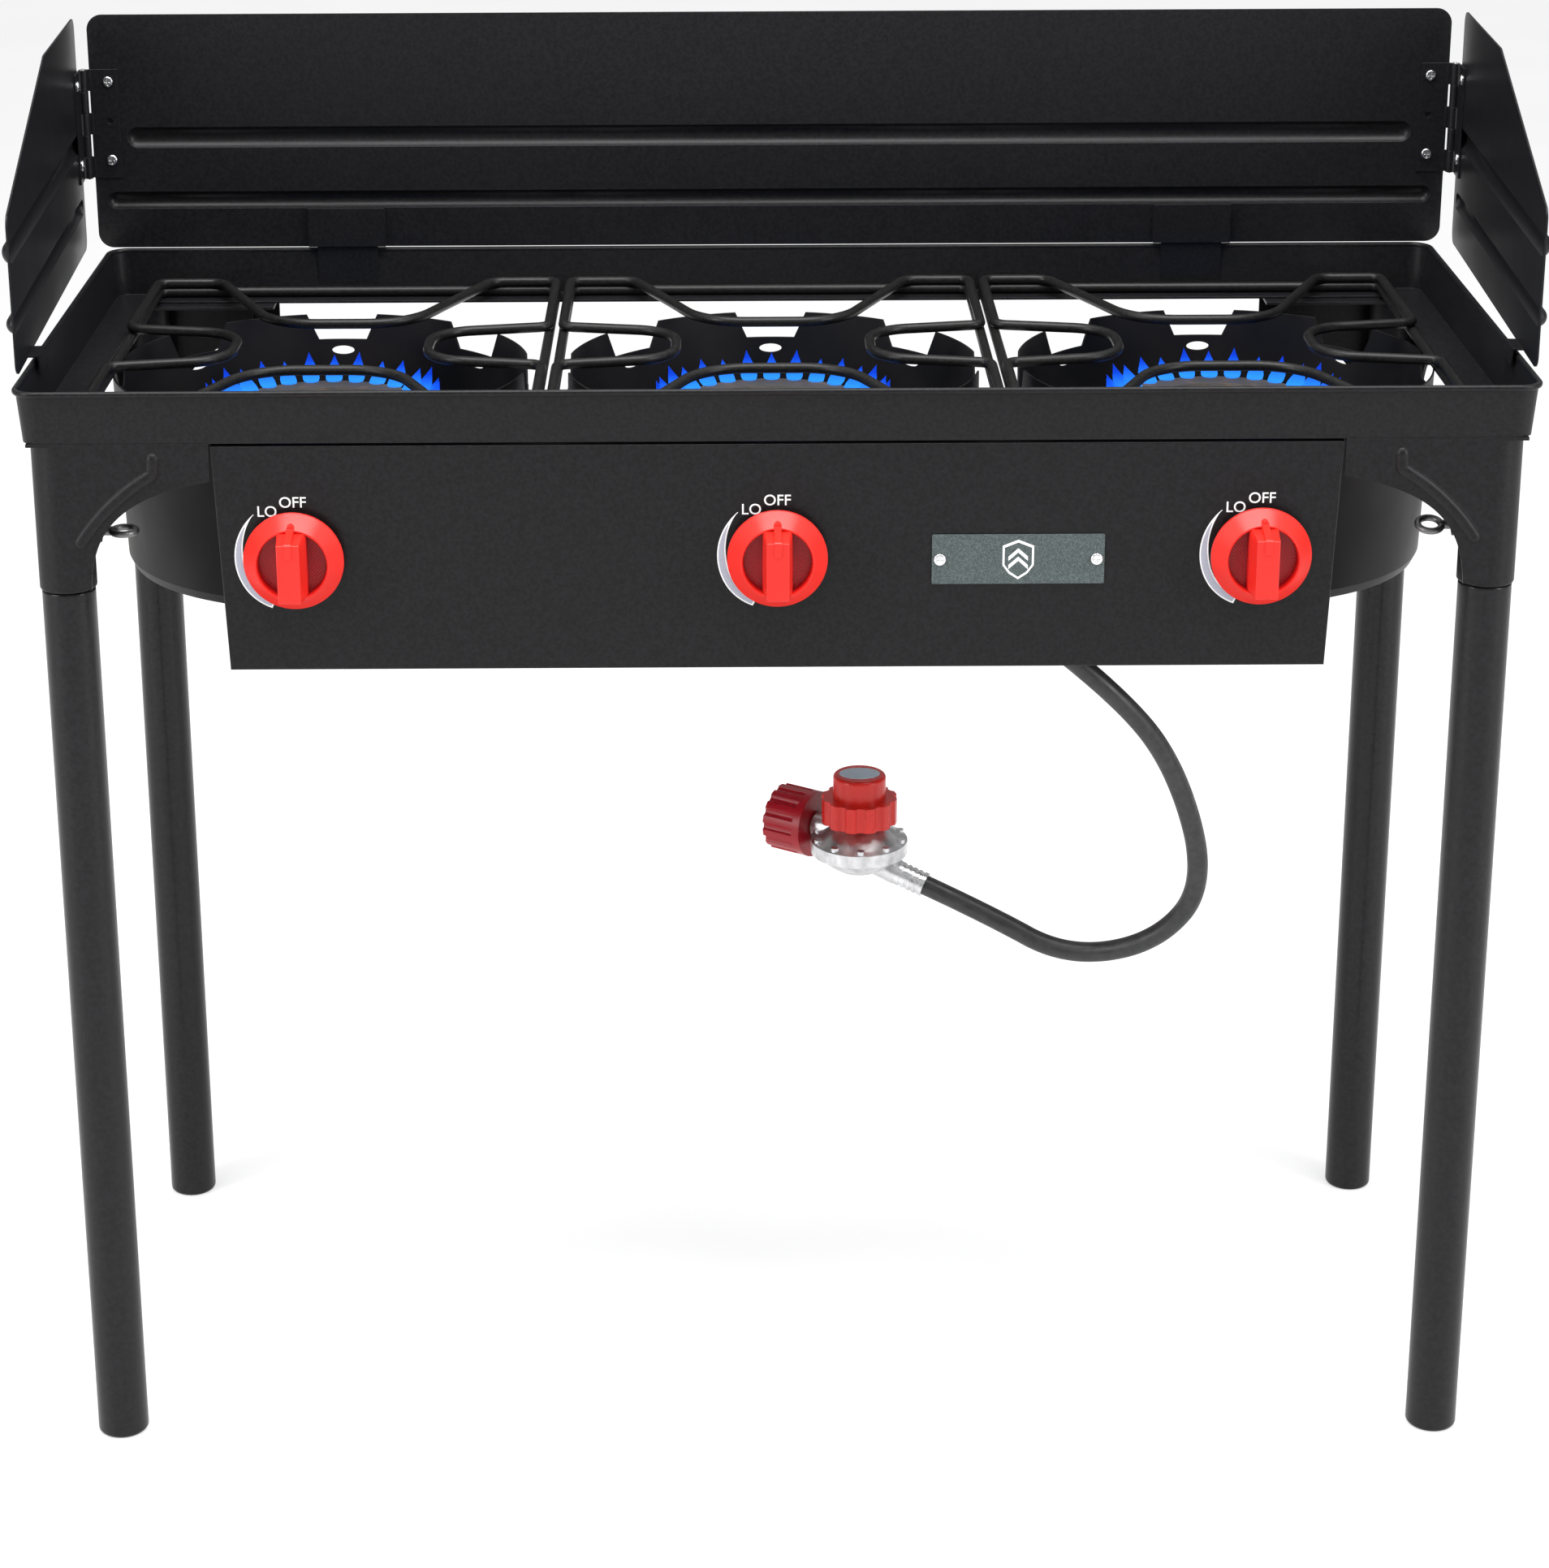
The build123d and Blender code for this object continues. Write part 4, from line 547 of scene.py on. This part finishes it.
def loop_faces(columns, start):
    """One n-sided face over a ring of points."""
    return [start + i for i in range(columns)]


def gas_hose(material, diameter):
    """The hose: a round bevelled NURBS curve through its route's control points."""
    curve = bpy.data.curves.new("gas_hose_tube", "CURVE")
    curve.dimensions = "3D"
    curve.bevel_depth = diameter / 2
    curve.bevel_resolution = 8
    curve.resolution_u = 16
    curve.use_fill_caps = True
    line = curve.splines.new("NURBS")
    line.points.add(len(HOSE_ROUTE) - 1)
    line.points.foreach_set("co", np.c_[np.array(HOSE_ROUTE), np.ones(len(HOSE_ROUTE))].ravel())
    line.order_u = 3
    line.use_endpoint_u = True
    line.use_smooth = True
    curve.materials.append(material)
    hose = bpy.data.objects.new("gas_hose_tube", curve)
    bpy.context.scene.collection.objects.link(hose)
    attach(hose, STOVE)
    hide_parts("gas_hose")
    return hose


def dial_sweep(name, centre, depths, span, trim, material):
    """Crescent round a dial, a flat band on a polar grid, between two depths along Y. The outer edge is a
    circle about the shaft that draws in near the lower end. The width grows as a quarter sine over the first
    part of the sweep and then stays the same. Both edges are trimmed by the same amount, and the span gives
    the shares of the whole sweep at which the band starts and ends."""
    turns, across = 64, 5
    t = np.linspace(span[0], span[1], turns)
    angle = np.radians(SWEEP_START + t * SWEEP_ANGLE)
    drawn_in = np.clip((t - SWEEP_FULL_TO) / (1.0 - SWEEP_FULL_TO), 0.0, 1.0) ** 1.5
    outer = SWEEP_RADIUS - SWEEP_DRAW_IN * drawn_in - trim
    width = SWEEP_WIDTH * np.sin(0.5 * np.pi * np.clip(t / SWEEP_WIDE_FROM, 0.0, 1.0)) - 2 * trim
    width = np.maximum(width, SWEEP_THINNEST)
    s = np.linspace(0.0, 1.0, across)
    radius = outer[:, None] - width[:, None] * s[None, :]
    x = centre[0] + radius * np.cos(angle)[:, None]
    z = centre[2] + radius * np.sin(angle)[:, None]
    front = np.stack([x, np.full_like(x, depths[0]), z], axis=-1)
    back = np.stack([x, np.full_like(x, depths[1]), z], axis=-1)
    count = turns * across
    lids = grid_faces(turns, across)
    rim = np.r_[
        np.arange(across),
        np.arange(2, turns + 1) * across - 1,
        np.arange(count - 2, count - across - 1, -1),
        np.arange(turns - 2, 0, -1) * across,
    ]
    ahead = np.roll(rim, -1)
    strips = np.stack([rim, rim + count, ahead + count, ahead], axis=-1)
    faces = np.r_[lids, lids[:, ::-1] + count, strips]
    piece = surface(name, np.r_[front.reshape(-1, 3), back.reshape(-1, 3)], faces, material, STOVE, False)
    set_outward(piece)
    return piece


def ring_of_flames(name, centre, foot, height, material):
    """Teardrop flames round a burner. Each is a surface of revolution about a line that leans outwards: at
    height share v its radius is w sin(pi v^0.7) (1 - v / 2), and every second flame is a little shorter."""
    rows, columns = 9, 8
    v = np.linspace(0.0, 1.0, rows)
    swell = FLAME_RADIUS * np.sin(np.pi * v**0.7) * (1.0 - 0.5 * v)
    turn = np.linspace(0.0, 2 * np.pi, columns, endpoint=False)
    points, faces = [], []
    for i in range(FLAME_COUNT):
        about = 2 * np.pi * i / FLAME_COUNT
        tall = height * (1.0 - 0.16 * (i % 2) + 0.07 * np.sin(5.0 * about))
        out = np.array([np.cos(about), np.sin(about), 0.0])
        side = np.array([-np.sin(about), np.cos(about), 0.0])
        spine = np.array(centre) + out * (FLAME_FOOT_RADIUS + FLAME_LEAN * v[:, None] ** 0.7)
        spine[:, 2] = foot + tall * v
        ring = out * np.cos(turn)[:, None] + side * np.sin(turn)[:, None]
        faces.append(grid_faces(rows, columns, wrap_columns=True) + i * rows * columns)
        points.append((spine[:, None, :] + swell[:, None, None] * ring[None, :, :]).reshape(-1, 3))
    flames = surface(name, np.concatenate(points), np.concatenate(faces), material, STOVE)
    set_outward(flames)
    return flames


def set_outward(piece):
    """Turns a closed mesh's faces outwards."""
    import bmesh

    work = bmesh.new()
    work.from_mesh(piece.data)
    bmesh.ops.remove_doubles(work, verts=work.verts, dist=1e-7)
    bmesh.ops.recalc_face_normals(work, faces=work.faces)
    work.to_mesh(piece.data)
    work.free()


def lettering(name, words, place, height, thickness, material, body):
    """Upright block capitals, turned into a thin solid mesh that faces the user, centred on a place."""
    text = bpy.data.curves.new(name, "FONT")
    text.body = words
    text.size = height / 0.70
    text.align_x = "CENTER"
    text.align_y = "CENTER"
    text.extrude = thickness / 2
    text.offset = 0.00006
    holder = bpy.data.objects.new(name + "_curve", text)
    bpy.context.scene.collection.objects.link(holder)
    bpy.context.view_layer.update()
    mesh = bpy.data.meshes.new_from_object(holder.evaluated_get(bpy.context.evaluated_depsgraph_get()))
    bpy.data.objects.remove(holder)
    mesh.name = name
    upright = Matrix(((1, 0, 0, place[0]), (0, 0, -1, place[1]), (0, 1, 0, place[2]), (0, 0, 0, 1)))
    mesh.transform(upright)
    mesh.materials.clear()
    mesh.materials.append(material)
    piece = bpy.data.objects.new(name, mesh)
    bpy.context.scene.collection.objects.link(piece)
    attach(piece, body)
    return piece


def flat_shape(name, outline, face_y, thickness, material, body):
    """A thin solid with a given outline in x and z, its back on face_y and its front towards the user."""
    ring = np.asarray(outline, float)
    count = len(ring)
    front = np.c_[ring[:, 0], np.full(count, face_y - thickness), ring[:, 1]]
    back = np.c_[ring[:, 0], np.full(count, face_y), ring[:, 1]]
    walls = grid_faces(2, count, wrap_columns=True)
    faces = [*walls.tolist(), loop_faces(count, 0), loop_faces(count, count)]
    piece = surface(name, np.r_[front, back], faces, material, body, False)
    set_outward(piece)
    return piece


def band_shape(name, outline, inset, face_y, thickness, material, body):
    """A thin closed band along an outline: the outline and a copy of it drawn in towards its middle by a
    share."""
    ring = np.asarray(outline, float)
    inner = ring.mean(0) + (ring - ring.mean(0)) * (1.0 - inset)
    count = len(ring)
    front_y = face_y - thickness
    loops = ((ring, face_y), (ring, front_y), (inner, front_y), (inner, face_y))
    points = np.concatenate([np.c_[loop[:, 0], np.full(count, y), loop[:, 1]] for loop, y in loops])
    piece = surface(name, points, grid_faces(4, count, True, True), material, body, False)
    set_outward(piece)
    return piece


# ---------------------------------------------------------------- operators
class STOVE_OT_steelwork(bpy.types.Operator):
    """Coat the tray, brackets, panel, windscreen, cups and legs"""

    bl_idname = "stove.steelwork"
    bl_label = "Coat the steelwork"

    def execute(self, context):
        finishes = context.scene.stove_finishes
        coat = powder_coat("powder_coat_black", tuple(finishes.steel), finishes.steel_roughness)
        give(coat, "tray_frame", "control_panel", "rear_rail", "cup_arms")
        give(coat, *(f"corner_bracket_{corner}" for corner in CORNERS))
        screen = powder_coat(
            "windscreen_coat_black", tone(finishes.steel, 1.15), finishes.steel_roughness - 0.03
        )
        give(screen, "windscreen_back", "windscreen_wing_left", "windscreen_wing_right")
        give(screen, "hinge_leaves_back", "hinge_leaf_wing_left", "hinge_leaf_wing_right")
        give(
            tube_enamel("leg_enamel_black", tone(finishes.steel, 1.1), 0.27),
            *(f"leg_{corner}" for corner in CORNERS),
        )
        give(
            heated_coat("wind_cup_coat", tone(finishes.steel, 1.3), finishes.steel_roughness + 0.04),
            *(f"wind_cup_{side}" for side in SIDES),
        )
        return {"FINISHED"}


class STOVE_OT_grates(bpy.types.Operator):
    """Enamel the wire grates"""

    bl_idname = "stove.grates"
    bl_label = "Enamel the grates"

    def execute(self, context):
        enamel = powder_coat("grate_enamel", tuple(context.scene.stove_finishes.wire), 0.36, 0.00008, 0.0004)
        give(enamel, *(f"grate_{side}" for side in SIDES))
        return {"FINISHED"}


class STOVE_OT_burners(bpy.types.Operator):
    """Give the burners raw cast iron and their shutters zinc plating"""

    bl_idname = "stove.burners"
    bl_label = "Cast the burners"

    def execute(self, context):
        finishes = context.scene.stove_finishes
        give(sand_cast("cast_iron_raw", tuple(finishes.iron)), "burner_bases", "burner_caps")
        give(
            plated("shutter_zinc", tone(finishes.zinc, 0.85), 0.35),
            *(f"air_shutter_{side}" for side in SIDES),
        )
        return {"FINISHED"}


class STOVE_OT_gas_train(bpy.types.Operator):
    """Finish the manifold, valves, fittings, screws and regulator casting"""

    bl_idname = "stove.gas_train"
    bl_label = "Finish the gas train"

    def execute(self, context):
        finishes = context.scene.stove_finishes
        zinc = plated("zinc_plate", tuple(finishes.zinc), 0.27)
        give(zinc, "gas_manifold", "manifold_plugs", "support_bolts", "hose_ferrules", "hinge_pins")
        give(zinc, *(f"{piece}_{side}" for piece in ("push_collar", "valve_stem") for side in SIDES))
        bright = plated("screw_bright", (0.82, 0.82, 0.83), 0.2, 0.00002)
        give(bright, "label_screws", "hinge_screws_back", "hinge_screws_wing_left", "hinge_screws_wing_right")
        brass = tarnished_brass("brass_turned", tuple(finishes.brass))
        give(brass, "valve_bodies", "gas_nozzles", "inlet_fitting", "coupling_nipple")
        give(
            plated("eye_screw_dull", tone(finishes.zinc, 0.30), 0.42),
            *(f"eye_screw_{corner}" for corner in CORNERS),
        )
        give(plated("regulator_casting", tone(finishes.zinc, 0.95), 0.34, 0.00012), "regulator_body")
        return {"FINISHED"}


class STOVE_OT_mouldings(bpy.types.Operator):
    """Mould the red knobs and the hand nut"""

    bl_idname = "stove.mouldings"
    bl_label = "Mould the knobs"

    def execute(self, context):
        finishes = context.scene.stove_finishes
        for side in SIDES:
            low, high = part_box(f"control_knob_{side}")
            red = knob_plastic(
                f"knob_red_{side}",
                tuple(finishes.knob),
                (low + high) / 2,
                high.y - KNOB_FACE_DEPTH,
                high.y - KNOB_FLOOR_DEPTH,
                KNOB_WELL_RADIUS,
            )
            give(red, f"control_knob_{side}")
        give(moulded_plastic("regulator_red", tone(finishes.knob, 0.72), 0.28), "regulator_knob")
        give(moulded_plastic("hand_nut_red", tuple(finishes.nut), 0.3), "coupling_nut")
        low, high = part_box("regulator_knob")
        middle = (low + high) / 2
        turn = np.linspace(0, 2 * np.pi, 48, endpoint=False)
        ring = np.array([0.0, 0.55, 0.93, 1.0, 1.0]) * 0.0142
        lift = np.array([0.0006, 0.0006, 0.0006, 0.0004, -0.0004]) + high.z
        x = middle.x + ring[:, None] * np.cos(turn)[None, :]
        y = middle.y + ring[:, None] * 0.74 * np.sin(turn)[None, :]
        z = np.repeat(lift[:, None], 48, axis=1)
        points = np.stack([x, y, z], axis=-1)
        faces = [*grid_faces(5, 48, wrap_columns=True).tolist(), loop_faces(48, 4 * 48)]
        film = screen_ink("cap_label_silver", (0.42, 0.48, 0.56))
        label = surface("regulator_cap_label", points, faces, film, "regulator_knob")
        set_outward(label)
        return {"FINISHED"}


class STOVE_OT_hose(bpy.types.Operator):
    """Lay the gas hose from the inlet fitting to the regulator"""

    bl_idname = "stove.hose"
    bl_label = "Lay the gas hose"

    def execute(self, context):
        gas_hose(hose_rubber("hose_rubber_black"), context.scene.stove_details.hose_diameter)
        return {"FINISHED"}


class STOVE_OT_prints(bpy.types.Operator):
    """Print the dial marks on the panel and a plain shield on the name plate"""

    bl_idname = "stove.prints"
    bl_label = "Print the panel"

    def execute(self, context):
        finishes, details = context.scene.stove_finishes, context.scene.stove_details
        ink = screen_ink("dial_ink", tuple(finishes.ink))
        grey = screen_ink("dial_sweep_ink", (0.40, 0.42, 0.50))
        face_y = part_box("control_panel")[0].y
        thin = details.ink_thickness
        for side in SIDES:
            low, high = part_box(f"control_knob_{side}")
            centre = (low + high) / 2
            lettering(
                f"dial_off_{side}",
                "OFF",
                (centre.x, face_y - thin / 2, centre.z + 0.0365),
                details.letter_height,
                thin,
                ink,
                STOVE,
            )
            lettering(
                f"dial_lo_{side}",
                "LO",
                (centre.x - 0.0165, face_y - thin / 2, centre.z + 0.0305),
                details.letter_height,
                thin,
                ink,
                STOVE,
            )
            dial_sweep(f"dial_sweep_{side}", centre, (face_y - thin, face_y), (0.0, 1.0), 0.0, ink)
            fill_depths = (face_y - 1.4 * thin, face_y - 0.5 * thin)
            dial_sweep(f"dial_fill_{side}", centre, fill_depths, SWEEP_FILL_SPAN, SWEEP_BORDER, grey)
        give(slate_print("name_plate_slate", tuple(finishes.plate)), "label_plate")
        low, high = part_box("label_plate")
        middle, plate_y = (low + high) / 2, low.y
        place = np.array([middle.x, middle.z])
        shield = np.array(
            [(-10, 9), (0, 13), (10, 9), (10, -4), (6, -9.5), (0, -13.5), (-6, -9.5), (-10, -4)]
        )
        band_shape("badge_border", shield / 1000 + place, 0.13, plate_y, thin, ink, STOVE)
        chevron = np.array([(-6.2, 1.7), (0, 7.3), (6.2, 1.7), (6.2, -1.1), (0, 4.5), (-6.2, -1.1)])
        flat_shape("badge_chevron_upper", chevron / 1000 + place, plate_y, thin, ink, STOVE)
        flat_shape("badge_chevron_lower", (chevron + (0, -5.6)) / 1000 + place, plate_y, thin, ink, STOVE)
        return {"FINISHED"}


class STOVE_OT_stage(bpy.types.Operator):
    """Set the camera, the soft lights and the pale floor"""

    bl_idname = "stove.stage"
    bl_label = "Set the studio"

    def execute(self, context):
        stage = context.scene.stove_stage
        camera = bpy.data.objects.new("Camera", bpy.data.cameras.new("Camera"))
        context.scene.collection.objects.link(camera)
        camera.data.sensor_width = 36.0
        camera.data.lens = stage.focal
        camera.data.shift_x = stage.shift_x
        camera.data.shift_y = stage.shift_y
        camera.data.clip_end = 50.0
        ahead = Vector((0.0, np.cos(stage.pitch), -np.sin(stage.pitch)))
        right, down = Vector((1.0, 0.0, 0.0)), ahead.cross(Vector((1.0, 0.0, 0.0)))
        lean_right = right * np.cos(stage.roll) + down * np.sin(stage.roll)
        lean_down = down * np.cos(stage.roll) - right * np.sin(stage.roll)
        turn = Matrix((lean_right, -lean_down, -ahead)).transposed().to_4x4()
        camera.matrix_world = Matrix.Translation(Vector(stage.eye)) @ turn
        context.scene.camera = camera

        room = bpy.data.worlds.new("studio_room")
        room.use_nodes = True
        paint_room(room.node_tree, stage.sky)
        context.scene.world = room
        context.scene.view_settings.view_transform = "Standard"

        softbox(context, "softbox_top", (0.0, -0.5, 3.0), (0.0, 0.0, 0.6), (2.6, 1.6), stage.key_power)
        softbox(context, "softbox_left", (-2.6, -1.6, 1.6), (0.0, 0.0, 0.6), (0.8, 2.4), stage.side_power)
        softbox(context, "softbox_right", (2.6, -1.6, 1.6), (0.0, 0.0, 0.6), (0.8, 2.4), stage.side_power)

        floor_paint = Finish("floor_pale", (0.40, 0.40, 0.40), 0.6)
        patches = floor_paint.noise(3.0, 2.0)
        floor_paint.colour(floor_paint.mottle(patches, (0.39, 0.39, 0.39), (0.41, 0.41, 0.41)))
        floor_paint.shader.inputs["Emission Color"].default_value = (1.0, 1.0, 1.0, 1.0)
        floor_paint.shader.inputs["Emission Strength"].default_value = 0.58
        mesh = bpy.data.meshes.new("floor")
        corners = [(x * FLOOR_REACH, y * FLOOR_REACH, 0) for x, y in ((-1, -1), (1, -1), (1, 1), (-1, 1))]
        mesh.from_pydata(corners, [], [(0, 1, 2, 3)])
        mesh.materials.append(floor_paint.material)
        floor = bpy.data.objects.new("floor", mesh)
        context.scene.collection.objects.link(floor)

        height = context.scene.stove_details.flame_height
        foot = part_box("burner_caps")[1].z - FLAME_SINK
        pale, deep = (0.03, 0.30, 1.0), (0.004, 0.06, 0.80)
        blue = flame_glow("flame_blue", pale, deep, foot, foot + height, 1.5, 0.9, 0.3)
        for side in SIDES:
            low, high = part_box(f"wind_cup_{side}")
            ring_of_flames(f"flames_{side}", (low + high) / 2, foot, height, blue)
        return {"FINISHED"}


def paint_room(tree, strength):
    """A plain white backdrop, and a room that is bright overhead and dim near the ground for everything lit
    by it."""
    backdrop = tree.nodes["Background"]
    backdrop.inputs["Color"].default_value = (1.0, 1.0, 1.0, 1.0)
    backdrop.inputs["Strength"].default_value = 1.0
    room = tree.nodes.new("ShaderNodeBackground")
    room.inputs["Strength"].default_value = strength
    where = tree.nodes.new("ShaderNodeTexCoord")
    height = tree.nodes.new("ShaderNodeSeparateXYZ")
    fade = tree.nodes.new("ShaderNodeValToRGB")
    fade.color_ramp.elements[0].position = 0.05
    fade.color_ramp.elements[0].color = (0.16, 0.16, 0.165, 1.0)
    fade.color_ramp.elements[1].position = 0.9
    fade.color_ramp.elements[1].color = (1.0, 1.0, 1.0, 1.0)
    seen = tree.nodes.new("ShaderNodeLightPath")
    choice = tree.nodes.new("ShaderNodeMixShader")
    tree.links.new(where.outputs["Generated"], height.inputs["Vector"])
    tree.links.new(height.outputs["Z"], fade.inputs["Fac"])
    tree.links.new(fade.outputs["Color"], room.inputs["Color"])
    tree.links.new(seen.outputs["Is Camera Ray"], choice.inputs["Fac"])
    tree.links.new(room.outputs["Background"], choice.inputs[1])
    tree.links.new(backdrop.outputs["Background"], choice.inputs[2])
    tree.links.new(choice.outputs["Shader"], tree.nodes["World Output"].inputs["Surface"])


def softbox(context, name, place, target, size, power):
    """A rectangular area light that faces a target."""
    light = bpy.data.lights.new(name, "AREA")
    light.shape = "RECTANGLE"
    light.size, light.size_y = size
    light.energy = power
    lamp = bpy.data.objects.new(name, light)
    context.scene.collection.objects.link(lamp)
    lamp.location = place
    lamp.rotation_euler = (Vector(target) - Vector(place)).to_track_quat("-Z", "Y").to_euler()
    return lamp


class STOVE_PT_panel(bpy.types.Panel):
    """Lists the stove's finishing steps"""

    bl_label = "Burner stand"
    bl_idname = "STOVE_PT_panel"
    bl_space_type = "VIEW_3D"
    bl_region_type = "UI"
    bl_category = "Burner stand"

    def draw(self, context):
        layout = self.layout
        for step in STEPS:
            layout.operator(step.bl_idname)
        for group in ("stove_stage", "stove_finishes", "stove_details"):
            settings = getattr(context.scene, group)
            box = layout.box()
            for key in settings.bl_rna.properties.keys():
                if key not in ("rna_type", "name"):
                    box.prop(settings, key)


STEPS = (
    STOVE_OT_stage,
    STOVE_OT_hose,
    STOVE_OT_steelwork,
    STOVE_OT_grates,
    STOVE_OT_burners,
    STOVE_OT_gas_train,
    STOVE_OT_mouldings,
    STOVE_OT_prints,
)
CLASSES = (StoveStage, StoveFinishes, StoveDetails, *STEPS, STOVE_PT_panel)


def register():
    for cls in CLASSES:
        bpy.utils.register_class(cls)
    bpy.types.Scene.stove_stage = PointerProperty(type=StoveStage)
    bpy.types.Scene.stove_finishes = PointerProperty(type=StoveFinishes)
    bpy.types.Scene.stove_details = PointerProperty(type=StoveDetails)


def unregister():
    del bpy.types.Scene.stove_details
    del bpy.types.Scene.stove_finishes
    del bpy.types.Scene.stove_stage
    for cls in reversed(CLASSES):
        bpy.utils.unregister_class(cls)


def main():
    register()
    for step in STEPS:
        group, action = step.bl_idname.split(".")
        getattr(getattr(bpy.ops, group), action)()


if __name__ == "__main__":
    main()
